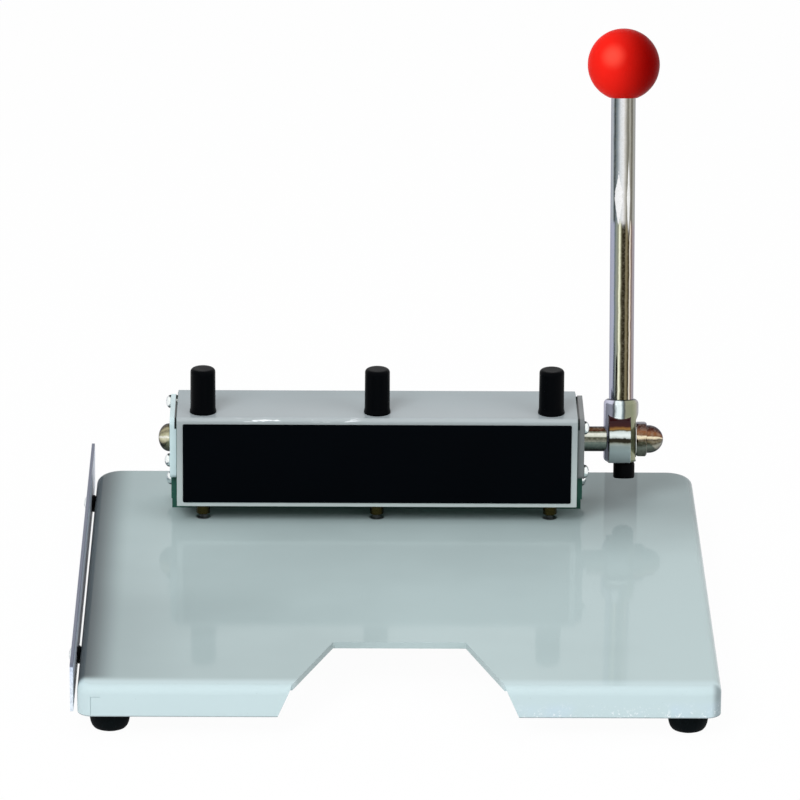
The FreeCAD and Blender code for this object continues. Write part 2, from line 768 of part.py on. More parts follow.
def make_label_plate():
    """Bare black plate on the front of the cover."""
    body = new_body("label_plate_body")
    sketch = new_sketch(body, "XZ", "label_outline")
    draw_rectangle(sketch, "-dim.label_length / 2", "dim.label_bottom",
                   "dim.label_length / 2", "dim.label_bottom + dim.label_height")
    pad(body, sketch, "dim.label_thick")
    place_on_head(body)
    finish(body, "label_plate")


def make_side_plates():
    """End plates of the head, each with a leg behind and a hole for the shaft."""
    for side, step in (("left", -1), ("right", 1)):
        body = new_body(f"side_plate_{side}_body")
        sketch = new_sketch(body, "YZ", f"side_plate_{side}_outline")
        draw_polygon(sketch, (
            ("dim.frame_front", "dim.plate_front_bottom"),
            ("dim.plate_leg_front - dim.plate_slope_run", "dim.plate_front_bottom"),
            ("dim.plate_leg_front", "dim.plate_front_bottom - dim.plate_slope_drop"),
            ("dim.plate_leg_front", "dim.plate_rear_bottom"),
            ("dim.frame_back", "dim.plate_rear_bottom"),
            ("dim.frame_back", "dim.plate_top"),
            ("dim.frame_front", "dim.plate_top"),
        ))
        plate = pad(body, sketch, "dim.plate_thick", backwards=side == "left")
        round_edges(body, plate, "dim.plate_round",
                    lambda e: runs_along(e, "X") and outer_corner(e.CenterOfMass))
        holes = new_sketch(body, "YZ", f"side_plate_{side}_holes", f"{-step} * dim.overshoot")
        draw_circle(holes, "dim.shaft_diameter + dim.plate_shaft_gap", "dim.shaft_behind",
                    "dim.shaft_height")
        for y, z in PLATE_SCREWS[side]:
            draw_circle(holes, "dim.screw_small + 2 * dim.screw_fit", y, z)
        pocket(body, holes, "dim.plate_thick + 2 * dim.overshoot", backwards=side == "right")
        place(body, f"dim.head_x + {step} * {PLATE_SEAT}", "dim.head_front", "dim.base_top")
        finish(body, f"side_plate_{side}")


def outer_corner(point):
    """True at the upper corners of a side plate and at its front lower corner."""
    upper = abs(point.z - number("dim.plate_top")) < SAME
    front = abs(point.y - number("dim.frame_front")) < SAME
    return upper or front


def pan_screw(name, x, y, z, direction, shank_length, head_diameter, head_height):
    """Pan head screw along X: its head's seat is at the place given, its shank runs inwards."""
    shank_start = x if direction > 0 else f"{x} - ({shank_length})"
    head_start = f"{x} - {head_height}" if direction > 0 else x
    shank = cylinder(f"{name}_shank", "dim.screw_small", shank_length, shank_start, y, z, "X")
    head = cylinder(f"{name}_head", head_diameter, head_height, head_start, y, z, "X")
    outer_x = number(x) - direction * number(head_height)
    return round_solid(name, fuse(f"{name}_solid", [shank, head]), "dim.pan_round",
                       lambda e: abs(e.CenterOfMass.x - outer_x) < SAME)


def make_side_plate_screws():
    """Three pan head screws through each side plate into the casting."""
    screws = []
    for side, direction in (("left", 1), ("right", -1)):
        x = f"dim.head_x - {direction} * ({PLATE_SEAT} + dim.plate_thick)"
        for i, (y, z) in enumerate(PLATE_SCREWS[side], start=1):
            screws.append(pan_screw(f"plate_screw_{side}_{i}", x, f"dim.head_front + {y}",
                                    f"dim.base_top + {z}", direction,
                                    "dim.plate_thick + dim.pan_grip", "dim.pan_head",
                                    "dim.pan_head_height"))
    finish(group("plate_screw_group", screws), "side_plate_screws")


def make_punch_caps():
    """Black caps over the upper ends of the rams, seated in the roof of the casting."""
    for side, step in SIDES.items():
        body = new_body(f"punch_cap_{side}_body")
        sketch = new_sketch(body, "XZ", f"punch_cap_{side}_section")
        inner = "(dim.cap_diameter / 2 - dim.cap_wall)"
        outer = "dim.cap_diameter / 2"
        bottom = "-dim.cover_sheet - dim.cap_seat"
        draw_polygon(sketch, (
            (inner, bottom), (outer, bottom), (outer, "0"), ("dim.cap_brim / 2", "0"),
            ("dim.cap_brim / 2", "dim.cap_brim_height"),
            (outer, "dim.cap_brim_height + dim.cap_slope"),
            (outer, "dim.cap_height"), ("0", "dim.cap_height"),
            ("0", "dim.cap_height - dim.cap_wall"), (inner, "dim.cap_height - dim.cap_wall"),
        ))
        turned = revolve(body, sketch)
        top = number("dim.cap_height")
        round_edges(body, turned, "dim.cap_round", lambda e: at_height(e, top))
        place(body, f"dim.head_x + {step} * dim.hole_pitch", PUNCH_Y,
              f"dim.base_top + {COVER_TOP}")
        finish(body, f"punch_cap_{side}")


# ---------------------------------------------------------------- punches


def make_rams():
    """Rams: round bars with a rack cut in a flat at the back and a socket for the blade."""
    gap_half = f"({TOOTH_PITCH} / 4 + dim.backlash / 2)"
    slope = math.tan(math.radians(PRESSURE_ANGLE))
    root = "(dim.rack_line - dim.tooth_foot)"
    outer = "(dim.ram_flat + dim.overshoot)"
    first_gap = f"(dim.shaft_height - dim.ram_bottom - {TOOTH_PITCH})"
    root_half = f"({gap_half} - dim.tooth_foot * {slope})"
    outer_half = f"({gap_half} + ({outer} - dim.rack_line) * {slope})"
    for side, step in SIDES.items():
        body = new_body(f"punch_ram_{side}_body")
        round_bar = new_sketch(body, "XY", f"ram_{side}_bar")
        draw_circle(round_bar, "dim.ram_diameter")
        bar = pad(body, round_bar, "dim.ram_length")
        top = number("dim.ram_length")
        doc.recompute()
        chamfer = body.newObject("PartDesign::Chamfer", f"ram_{side}_chamfer")
        chamfer.Base = (bar, edges_where(bar.Shape, lambda e: at_height(e, top)))
        bind(chamfer, Size="dim.ram_chamfer")
        flat = new_sketch(body, "YZ", f"ram_{side}_flat")
        draw_rectangle(flat, "dim.ram_flat", "-dim.overshoot", "dim.ram_diameter",
                       f"{first_gap} + {RACK_GAPS} * {TOOTH_PITCH}")
        pocket(body, flat, "2 * dim.ram_diameter", symmetric=True)
        gap = new_sketch(body, "YZ", f"ram_{side}_gap")
        last_gap = f"({first_gap} + {RACK_GAPS - 1} * {TOOTH_PITCH})"
        draw_polygon(gap, (
            (root, f"{last_gap} - {root_half}"), (outer, f"{last_gap} - {outer_half}"),
            (outer, f"{last_gap} + {outer_half}"), (root, f"{last_gap} + {root_half}"),
        ))
        tooth_gap = pocket(body, gap, "2 * dim.ram_diameter", symmetric=True)
        rack = body.newObject("PartDesign::LinearPattern", f"ram_{side}_rack")
        rack.Originals = [tooth_gap]
        rack.Direction = (round_bar, ["N_Axis"])
        rack.Reversed = True
        rack.Occurrences = RACK_GAPS
        bind(rack, Length=f"{RACK_GAPS - 1} * {TOOTH_PITCH}")
        body.Tip = rack
        socket = new_sketch(body, "XY", f"ram_{side}_socket", "-dim.overshoot")
        draw_circle(socket, "dim.blade_diameter + 2 * dim.blade_fit")
        pocket(body, socket, "dim.socket_depth + dim.overshoot", backwards=True)
        place(body, f"dim.head_x + {step} * dim.hole_pitch", PUNCH_Y,
              "dim.base_top + dim.ram_bottom")
        finish(body, f"punch_ram_{side}")


def make_blades():
    """Blades: hardened pins with a hollow ground end."""
    for side, step in SIDES.items():
        body = new_body(f"punch_blade_{side}_body")
        sketch = new_sketch(body, "XZ", f"punch_blade_{side}_section")
        length = "(dim.ram_bottom + dim.socket_depth - dim.blade_tip)"
        draw_polygon(sketch, (
            ("0", "dim.blade_hollow"), ("dim.blade_diameter / 2", "0"),
            ("dim.blade_diameter / 2", length), ("0", length),
        ))
        revolve(body, sketch)
        place(body, f"dim.head_x + {step} * dim.hole_pitch", PUNCH_Y,
              "dim.base_top + dim.blade_tip")
        finish(body, f"punch_blade_{side}")


def ring(name, outer, inner, length, x, y, z, axis="Z"):
    """Plain bush or washer."""
    body = cylinder(f"{name}_outside", outer, length, x, y, z, axis)
    bore = cylinder(f"{name}_bore", inner, length, x, y, z, axis)
    return cut(name, body, [bore])


def make_guide_bushes():
    """Brass bushes that hang from the casting's floor, guide the blades and strip the paper."""
    for side, step in SIDES.items():
        item = ring(f"guide_bush_{side}_ring", "dim.guide_diameter",
                    "dim.blade_diameter + 2 * dim.blade_fit",
                    "dim.frame_underside + dim.guide_grip - dim.guide_bottom",
                    f"dim.head_x + {step} * dim.hole_pitch", PUNCH_Y,
                    "dim.base_top + dim.guide_bottom")
        finish(item, f"guide_bush_{side}")


# ---------------------------------------------------------------- shaft and sectors


def wall_places():
    """Name, left side and thickness of each wall that the shaft runs through."""
    end = f"{FRAME_HALF} - dim.end_wall"
    rib = "dim.hole_pitch / 2 - dim.rib_thick / 2"
    return (
        ("left", f"-{PLATE_SEAT}", "dim.end_wall - dim.plate_seat"),
        ("mid_left", f"-({rib} + dim.rib_thick)", "dim.rib_thick"),
        ("mid_right", rib, "dim.rib_thick"),
        ("right", end, "dim.end_wall - dim.plate_seat"),
    )


def make_shaft_bushes():
    """Bronze bushes of the shaft, one in each wall of the casting."""
    for name, left, thickness in wall_places():
        item = ring(f"shaft_bush_{name}_ring", "dim.bush_diameter",
                    "dim.shaft_diameter + 2 * dim.shaft_fit", thickness,
                    f"dim.head_x + {left}", SHAFT_Y, SHAFT_Z, "X")
        finish(item, f"shaft_bush_{name}")


def pin_side(step):
    """Direction from a sector's teeth to its pin, away from the casting's end walls."""
    return 1 if step == 0 else -step


def pin_place(step):
    """X formula of a sector's pin, beside the teeth."""
    return f"dim.head_x + {step} * dim.hole_pitch + {pin_side(step)} * dim.sector_pin_offset"


def make_shaft():
    """Shaft: plain bar with a journal and a thread at the lever end, drilled for the pins."""
    left = f"dim.head_x - {PLATE_SEAT} - dim.plate_thick - dim.end_cap_gap - dim.end_cap_depth"
    shoulder = f"{LEVER_X} - dim.hub_face"
    bar = cylinder("shaft_bar", "dim.shaft_diameter", f"{shoulder} - ({left})",
                   left, SHAFT_Y, SHAFT_Z, "X")
    journal = cylinder("shaft_journal", "dim.journal_diameter",
                       "2 * dim.hub_face + dim.journal_beyond_hub", shoulder, SHAFT_Y, SHAFT_Z, "X")
    bores = []
    for side, step in SIDES.items():
        bores.append(cylinder(f"shaft_pin_bore_{side}", "dim.sector_pin_diameter + dim.close_fit",
                              "2 * dim.shaft_diameter", pin_place(step), SHAFT_Y,
                              f"{SHAFT_Z} - dim.shaft_diameter"))
    finish(cut("shaft_drilled", fuse("shaft_solid", [bar, journal]), bores), "lever_shaft")


def make_sectors():
    """Toothed sectors: hub, fan of teeth facing the rams, and a cross hole for the pin."""
    tip = f"({PITCH_RADIUS} + dim.tooth_head)"
    for side, step in SIDES.items():
        body = new_body(f"sector_gear_{side}_body")
        disc = new_sketch(body, "YZ", f"sector_{side}_disc")
        draw_circle(disc, f"2 * {tip}")
        pad(body, disc, "dim.sector_thick", symmetric=True)
        waste = new_sketch(body, "YZ", f"sector_{side}_waste")
        draw_polygon(waste, fan_waste(tip))
        pocket(body, waste, "2 * dim.sector_thick", symmetric=True)
        hub = new_sketch(body, "YZ", f"sector_{side}_hub", hub_start(step))
        draw_circle(hub, "dim.sector_hub_diameter")
        pad(body, hub, "dim.sector_hub_length")
        gap = new_sketch(body, "YZ", f"sector_{side}_gap")
        mirrored = [(height, -half) for height, half in reversed(TOOTH_GAP)]
        draw_polygon(gap, [gap_point(height, half) for height, half in (*TOOTH_GAP, *mirrored)])
        tooth_gap = pocket(body, gap, "2 * dim.sector_thick", symmetric=True)
        teeth = body.newObject("PartDesign::PolarPattern", f"sector_{side}_teeth")
        teeth.Originals = [tooth_gap]
        teeth.Axis = (disc, ["N_Axis"])
        teeth.Reversed = True
        teeth.Occurrences = SECTOR_GAPS
        bind(teeth, Angle=f"{SECTOR_GAPS - 1} * {TOOTH_ANGLE}")
        body.Tip = teeth
        bore = new_sketch(body, "YZ", f"sector_{side}_bore")
        draw_circle(bore, "dim.shaft_diameter + dim.close_fit")
        pocket(body, bore)
        pin_hole = new_sketch(body, "XY", f"sector_{side}_pin_hole")
        draw_circle(pin_hole, "dim.sector_pin_diameter + dim.close_fit",
                    f"{pin_side(step)} * dim.sector_pin_offset")
        pocket(body, pin_hole, "4 * dim.sector_hub_diameter", symmetric=True)
        place(body, f"dim.head_x + {step} * dim.hole_pitch", SHAFT_Y, SHAFT_Z)
        finish(body, f"sector_gear_{side}")


def hub_start(step):
    """Left end of a sector's hub, from the middle of its teeth."""
    if step == 1:
        return "dim.sector_thick / 2 - dim.sector_hub_length"
    return "-dim.sector_thick / 2"


def fan_waste(tip):
    """Outline of the part of the disc that is taken away, outside the fan of teeth."""
    far = f"({tip} * {WASTE_REACH})"
    hub = "(dim.sector_hub_diameter / 2 - dim.overshoot)"
    low = f"({TOOTH_ANGLE} * {FAN_START})"
    high = f"({TOOTH_ANGLE} * {FAN_END})"
    return (
        polar_point(hub, low), polar_point(far, low),
        (f"-{tip} * {WASTE_LEAD}", f"-{far}"), (far, f"-{far}"), (far, far),
        polar_point(far, high), polar_point(hub, high),
        ("0", "0"),
    )


def polar_point(radius, angle):
    """Point at a radius and an angle above the forward direction, in a YZ sketch."""
    return (f"-{radius} * cos({angle} * 1 deg)", f"{radius} * sin({angle} * 1 deg)")


def gap_point(height, half):
    """Point of the lowest tooth gap: height above the pitch circle, half width across the gap."""
    radius = f"({PITCH_RADIUS} + {height})"
    sideways = f"({half} * {TOOTH_PITCH} / 4)"
    along = f"cos({TOOTH_ANGLE} * {FIRST_GAP} * 1 deg)"
    across = f"sin({TOOTH_ANGLE} * {FIRST_GAP} * 1 deg)"
    return (f"-{radius} * {along} + {sideways} * {across}",
            f"{radius} * {across} + {sideways} * {along}")


def make_sector_pins():
    """Pins through hub and shaft."""
    pins = []
    for side, step in SIDES.items():
        pins.append(cylinder(f"sector_pin_{side}", "dim.sector_pin_diameter",
                             "dim.sector_hub_diameter - 2 * dim.sector_pin_recess",
                             pin_place(step), SHAFT_Y,
                             f"{SHAFT_Z} - dim.sector_hub_diameter / 2 + dim.sector_pin_recess"))
    finish(group("sector_pin_group", pins), "sector_pins")


def dome(radius, start, top):
    """Points of a dome's section, from its foot at a height to its top on the axis."""
    rise = f"(({top}) - ({start}))"
    slope = [(f"({radius}) * cos({angle} deg)", f"({start}) + {rise} * sin({angle} deg)")
             for angle in DOME_ANGLES]
    return [(f"({radius})", start), *slope, ("0", top)]


def make_end_cap():
    """Domed cap on the left end of the shaft."""
    body = new_body("shaft_end_cap_body")
    sketch = new_sketch(body, "XZ", "end_cap_section")
    inner = "(dim.shaft_diameter / 2 + dim.close_fit / 2)"
    draw_polygon(sketch, [
        (inner, "0"), ("dim.end_cap_diameter / 2", "0"),
        *dome("dim.end_cap_diameter / 2", "dim.dome_start", "dim.end_cap_length"),
        ("0", "dim.end_cap_depth"), (inner, "dim.end_cap_depth"),
    ])
    revolve(body, sketch)
    place(body, f"dim.head_x - {PLATE_SEAT} - dim.plate_thick - dim.end_cap_gap", SHAFT_Y, SHAFT_Z,
          FreeCAD.Rotation(FreeCAD.Vector(0, 1, 0), -90))
    finish(body, "shaft_end_cap")


# ---------------------------------------------------------------- lever


def make_lever_hub():
    """Hub: an upright round block crossed by a boss on the shaft, bored for shaft, rod and screw."""
    body = new_body("lever_hub_body")
    column = new_sketch(body, "XY", "hub_column", "-dim.hub_below")
    draw_circle(column, "dim.hub_diameter")
    upright = pad(body, column, "dim.hub_below + dim.hub_above")
    top = number("dim.hub_above")
    round_edges(body, upright, "dim.hub_round", lambda e: at_height(e, top))
    boss = new_sketch(body, "YZ", "hub_boss", "-dim.boss_left")
    draw_circle(boss, "dim.boss_diameter")
    pad(body, boss, "dim.boss_left + dim.boss_right")
    underside = new_sketch(body, "XY", "hub_underside", "-dim.hub_below")
    draw_circle(underside, "2 * dim.boss_diameter")
    pocket(body, underside, "dim.boss_diameter")
    seat = new_sketch(body, "YZ", "hub_nut_seat", "dim.hub_face")
    draw_circle(seat, "dim.nut_seat")
    pocket(body, seat, "dim.hub_diameter", backwards=True)
    journal = new_sketch(body, "YZ", "hub_journal_bore")
    draw_circle(journal, "dim.journal_diameter + dim.close_fit")
    pocket(body, journal)
    shoulder = new_sketch(body, "YZ", "hub_shoulder_bore", "-dim.hub_face")
    draw_circle(shoulder, "dim.shaft_diameter + dim.easy_fit")
    pocket(body, shoulder, "dim.hub_diameter")
    rod = new_sketch(body, "XY", "hub_rod_bore", "dim.hub_above + dim.overshoot")
    draw_circle(rod, "dim.rod_diameter + dim.close_fit")
    pocket(body, rod, "dim.hub_above - dim.rod_start + dim.overshoot")
    screw = new_sketch(body, "XY", "hub_screw_bore", "-dim.hub_below - dim.overshoot")
    draw_circle(screw, "dim.screw_large + 2 * dim.screw_fit", "dim.hub_screw_offset")
    pocket(body, screw, "dim.hub_below + dim.overshoot - dim.hub_screw_top", backwards=True)
    lever_frame(body)
    finish(body, "lever_hub")


def make_lever_rod():
    """Rod: plain chromed bar with a thinner thread for the knob."""
    bar = cylinder("rod_bar", "dim.rod_diameter",
                   "dim.knob_height - dim.knob_shoulder - dim.rod_start", z="dim.rod_start")
    thread = cylinder("rod_thread", "dim.rod_neck", "dim.knob_thread",
                      z="dim.knob_height - dim.knob_shoulder")
    rod = fuse("rod_solid", [bar, thread])
    lever_frame(rod)
    finish(rod, "lever_rod")


def make_ball_knob():
    """Ball knob, bored for the rod and its thread."""
    ball = doc.addObject("Part::Sphere", "knob_ball")
    bind(ball, Radius="dim.knob_diameter / 2")
    place(ball, z="dim.knob_height")
    mouth = cylinder("knob_mouth_bore", "dim.rod_diameter + dim.easy_fit", "dim.knob_mouth",
                     z="dim.knob_height - dim.knob_shoulder - dim.knob_mouth")
    thread = cylinder("knob_thread_bore", "dim.rod_neck + dim.close_fit", "dim.knob_thread",
                      z="dim.knob_height - dim.knob_shoulder")
    knob = cut("knob_bored", ball, [mouth, thread])
    lever_frame(knob)
    finish(knob, "ball_knob")


def make_hub_screw():
    """Socket head screw that clamps the hub on the shaft from below."""
    bottom = "-dim.hub_below - dim.hub_screw_head_height"
    middle = "dim.hub_screw_offset"
    shank = cylinder("hub_screw_shank", "dim.screw_large", "dim.hub_screw_length", middle,
                     z="-dim.hub_below")
    head = cylinder("hub_screw_head", "dim.hub_screw_head", "dim.hub_screw_head_height", middle,
                    z=bottom)
    hexagon = doc.addObject("Part::Prism", "hub_screw_socket")
    hexagon.Polygon = 6
    bind(hexagon, Circumradius="dim.hex_socket_radius", Height="dim.hex_socket_depth")
    place(hexagon, middle, z=bottom)
    screw = cut("hub_screw_cut", fuse("hub_screw_solid", [shank, head]), [hexagon])
    lever_frame(screw)
    finish(screw, "hub_screw")


def make_hub_washer():
    """Thin washer between hub and acorn nut."""
    item = ring("hub_washer_ring", "dim.nut_flats + dim.washer_rim",
                "dim.journal_diameter + 2 * dim.screw_fit", "dim.washer_thick",
                f"{LEVER_X} + dim.hub_face", SHAFT_Y, SHAFT_Z, "X")
    finish(item, "hub_washer")


def make_acorn_nut():
    """Acorn nut that holds the hub against the shaft's shoulder, one corner nearly to the front."""
    body = new_body("acorn_nut_body")
    section = new_sketch(body, "XZ", "acorn_dome_section")
    draw_polygon(section, [
        ("0", "0"), ("dim.nut_dome / 2", "0"),
        *dome("dim.nut_dome / 2", "dim.nut_height + dim.dome_start", "dim.nut_total"),
    ])
    revolve(body, section)
    flats = new_sketch(body, "XY", "acorn_hexagon")
    across = "(dim.nut_flats / cos(30 deg) / 2)"
    corners = [f"({60 * i + 30} - dim.nut_turn) * 1 deg" for i in range(6)]
    draw_polygon(flats, [(f"{across} * cos({angle})", f"{across} * sin({angle})")
                         for angle in corners])
    pad(body, flats, "dim.nut_height")
    thread = new_sketch(body, "XY", "acorn_thread", "-dim.overshoot")
    draw_circle(thread, "dim.journal_diameter + dim.close_fit")
    pocket(body, thread, "dim.nut_total - dim.nut_top_wall", backwards=True)
    place(body, f"{LEVER_X} + dim.hub_face + dim.washer_thick", SHAFT_Y, SHAFT_Z, ALONG["X"])
    finish(body, "acorn_nut")


# ---------------------------------------------------------------- paper guide


def make_guide():
    """Aluminium strip along the left side, on spacers, held by two screws and nuts."""
    skirt = "(-dim.base_width / 2)"
    screw_z = "dim.base_top - dim.guide_screw_drop"
    ends = {"front": "dim.guide_front_screw", "rear": "dim.guide_rear_screw"}
    body = new_body("guide_strip_body")
    sketch = new_sketch(body, "YZ", "guide_outline")
    top = "dim.base_top + dim.guide_rise"
    draw_rectangle(sketch, "dim.guide_front", f"{top} - dim.guide_height", "dim.guide_back", top)
    strip = pad(body, sketch, "dim.guide_thick", backwards=True)
    upper = number(top)
    round_edges(body, strip, "dim.guide_round",
                lambda e: runs_along(e, "X") and at_height(e, upper))
    holes = new_sketch(body, "YZ", "guide_holes", "dim.overshoot")
    for y in ends.values():
        draw_circle(holes, "dim.screw_small + 2 * dim.screw_fit", y, screw_z)
    pocket(body, holes, "dim.guide_thick + 2 * dim.overshoot")
    place(body, f"{skirt} - dim.guide_gap")
    finish(body, "guide_strip")

    spacers = []
    screws = []
    nuts = []
    for name, y in ends.items():
        bore = "dim.screw_small + 2 * dim.screw_fit"
        spacers.append(ring(f"spacer_{name}", "dim.spacer_diameter", bore, "dim.guide_gap",
                            f"{skirt} - dim.guide_gap", y, screw_z, "X"))
        screws.append(pan_screw(f"guide_screw_{name}", f"{skirt} - dim.guide_gap - dim.guide_thick",
                                y, screw_z, 1,
                                "dim.guide_thick + dim.guide_gap + dim.guide_screw_grip",
                                "dim.guide_head", "dim.guide_head_height"))
        nuts.append(ring(f"guide_nut_{name}", "dim.guide_nut", bore, "dim.guide_nut_thick",
                         f"{skirt} + dim.base_sheet", y, screw_z, "X"))
    finish(group("spacer_group", spacers), "guide_spacers")
    finish(group("guide_screw_group", screws), "guide_screws")
    finish(group("guide_nut_group", nuts), "guide_nuts")


# ---------------------------------------------------------------- chip tray


def make_chip_tray():
    """Shallow tray that catches the chips; it slides out to the back on two side flanges."""
    half = "(dim.tray_length / 2)"
    body = new_body("chip_tray_body")
    outline = new_sketch(body, "XY", "tray_outline")
    draw_rectangle(outline, f"-{half}", "0", half, "dim.tray_depth")
    pad(body, outline, "dim.tray_top - dim.tray_bottom")
    flanges = new_sketch(body, "XY", "tray_flanges", "dim.tray_top - dim.tray_bottom")
    draw_rectangle(flanges, f"-{half} - dim.tray_flange", "0", f"{half} + dim.tray_flange",
                   "dim.tray_depth + dim.tray_lip")
    pad(body, flanges, "dim.tray_sheet", backwards=True)
    hollow = new_sketch(body, "XY", "tray_hollow", "dim.tray_top - dim.tray_bottom + dim.overshoot")
    draw_rectangle(hollow, f"-{half} + dim.tray_sheet", "dim.tray_sheet",
                   f"{half} - dim.tray_sheet", "dim.tray_depth - dim.tray_sheet")
    pocket(body, hollow, "dim.tray_top - dim.tray_bottom - dim.tray_sheet + dim.overshoot")
    place(body, "dim.head_x", "dim.tray_front", "dim.tray_bottom")
    finish(body, "chip_tray")


def make_tray_rails():
    """Two angle rails under the base that carry the tray's flanges."""
    for side, step in (("left", -1), ("right", 1)):
        body = new_body(f"tray_rail_{side}_body")
        sketch = new_sketch(body, "XZ", f"tray_rail_{side}_section")
        web = "(dim.tray_length / 2 + dim.tray_flange + dim.rail_side_gap)"
        lip = "(dim.tray_length / 2 + dim.rail_lip_gap)"
        lip_top = "(dim.tray_top - dim.tray_sheet - dim.rail_gap)"
        draw_polygon(sketch, [(f"{step} * {x}", z) for x, z in (
            (web, BASE_UNDERSIDE), (f"({web} + dim.rail_sheet)", BASE_UNDERSIDE),
            (f"({web} + dim.rail_sheet)", f"{lip_top} - dim.rail_sheet"),
            (lip, f"{lip_top} - dim.rail_sheet"), (lip, lip_top), (web, lip_top),
        )])
        pad(body, sketch, "dim.tray_depth", backwards=True)
        place(body, "dim.head_x", "dim.tray_front")
        finish(body, f"tray_rail_{side}")


# ---------------------------------------------------------------- build, check and write


def check(items):
    """Stop at any failed object, and at any sub-part without a valid shape."""
    for item in doc.Objects:
        if {"Invalid", "Error"} & set(item.State):
            raise ValueError(f"{item.Name} failed: {item.State}")
    for item in items:
        if item.Shape.isNull() or not item.Shape.isValid() or not item.Shape.Solids:
            raise ValueError(f"{item.Label} has no valid shape")


def main():
    """Build every sub-part, check them all, and write one STEP file for each."""
    fill_sheet()
    for make in (make_base_tray, make_feet, make_die_bar, make_frame_bolts, make_dies,
                 make_frame_casting, make_head_cover, make_label_plate, make_side_plates,
                 make_side_plate_screws, make_punch_caps, make_rams, make_blades,
                 make_guide_bushes, make_shaft_bushes, make_shaft, make_sectors,
                 make_sector_pins, make_end_cap, make_lever_hub, make_lever_rod,
                 make_ball_knob, make_hub_screw, make_hub_washer, make_acorn_nut,
                 make_guide, make_chip_tray, make_tray_rails):
        make()
    doc.recompute()
    check(nodes)
    os.makedirs("parts", exist_ok=True)
    for item in nodes:
        item.Shape.exportStep(f"parts/{item.Label}.step")
    print(f"{len(nodes)} sub-parts written")


main()
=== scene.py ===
"""Looks of the paper drill: finishes, dressed pieces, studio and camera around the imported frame."""

import json
import math

import bmesh
import bpy
from mathutils import Matrix, Vector


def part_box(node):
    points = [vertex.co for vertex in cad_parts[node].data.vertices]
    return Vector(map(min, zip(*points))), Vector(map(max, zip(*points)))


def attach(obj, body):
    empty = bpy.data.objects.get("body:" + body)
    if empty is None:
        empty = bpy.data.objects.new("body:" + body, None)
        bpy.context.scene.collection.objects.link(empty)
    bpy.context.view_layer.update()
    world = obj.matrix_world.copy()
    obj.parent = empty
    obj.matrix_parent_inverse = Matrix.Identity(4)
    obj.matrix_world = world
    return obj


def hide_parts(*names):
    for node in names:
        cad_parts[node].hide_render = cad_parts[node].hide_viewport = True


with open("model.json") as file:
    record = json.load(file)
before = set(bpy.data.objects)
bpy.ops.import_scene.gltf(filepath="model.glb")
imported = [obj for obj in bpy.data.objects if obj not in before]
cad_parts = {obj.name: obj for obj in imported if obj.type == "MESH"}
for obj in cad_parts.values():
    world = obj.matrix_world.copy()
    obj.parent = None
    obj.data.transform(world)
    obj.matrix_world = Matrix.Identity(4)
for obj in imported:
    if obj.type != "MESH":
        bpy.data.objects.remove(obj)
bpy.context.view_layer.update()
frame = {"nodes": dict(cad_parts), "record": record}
NODES = frame["nodes"]
SLOT_OF = {row["node"]: row["material_slot"] for row in frame["record"]["subparts"]}

# ---- sizes, in millimetres

MM = 0.001
SIDES = ("left", "centre", "right")

# Base: corner radii, sheet, bend and rolled lip; the notch's widths at its back, at the base's
# front edge and at the skirt's foot, its depth, and how far its back and front lie off centre.
FRONT_ROUND, REAR_ROUND = 7.0, 13.0
BASE_SHEET, BASE_BEND, BASE_LIP = 3.2, 4.0, 0.5
NOTCH_BACK, NOTCH_FRONT, NOTCH_FOOT, NOTCH_DEPTH = 62.0, 97.7, 111.0, 57.0
NOTCH_BACK_SHIFT, NOTCH_SHIFT = 0.4, -0.5
FOOT_TOP = 19.4

# Head: cover, caps, end plates and how far they stand behind the head's front, with the
# screws' places (back from that front, up from the base).
COVER_SHEET, COVER_BEND = 1.2, 2.0
CAP, CAP_HEIGHT = 12.3, 22.3
CAP_HOLE_RADIUS, DIE_HOLE_RADIUS, SHAFT_HOLE_RADIUS = 6.32, 3.72, 6.5
PLATE_LEG, PLATE_HEIGHT, PLATE_TOP, PLATE_INSET = 29.0, 30.7, 53.4, 2.0
PLATE_SCREWS = {"left": ((38.5, 49.8), (6, 31), (38, 10)),
                "right": ((8, 47.7), (6, 25.8), (38, 10))}

# Lever: the point where rod and shaft cross, the lean at rest, hub, boss, knob and nut.
LEVER_X = 113.75
PIVOT = (LEVER_X, 93.1, 57.8)
LEAN = math.radians(14)
HUB_RADIUS, HUB_ROUND, HUB_ABOVE, HUB_BELOW, HUB_FACE = 8.6, 2.4, 19.9, 11.2, 7.0
HUB_BLEND, HUB_FACE_RADIUS = 0.7, 10.5
BOSS_RADIUS, BOSS_ROUND, BOSS_LEFT, BOSS_RIGHT = 13.5, 0.5, 6.4, 4.4
SCREW_HEAD, SCREW_OFF = 8.0, 1.6
ROD_RADIUS, ROD_START = 6.0, 7.5
KNOB_RADIUS, KNOB_HEIGHT = 17.69, 184.4
NUT_FLATS, NUT_HEIGHT, NUT_TURN, NUT_DOME = 16.0, 5.2, math.radians(18), 6.85


# ---- node helpers


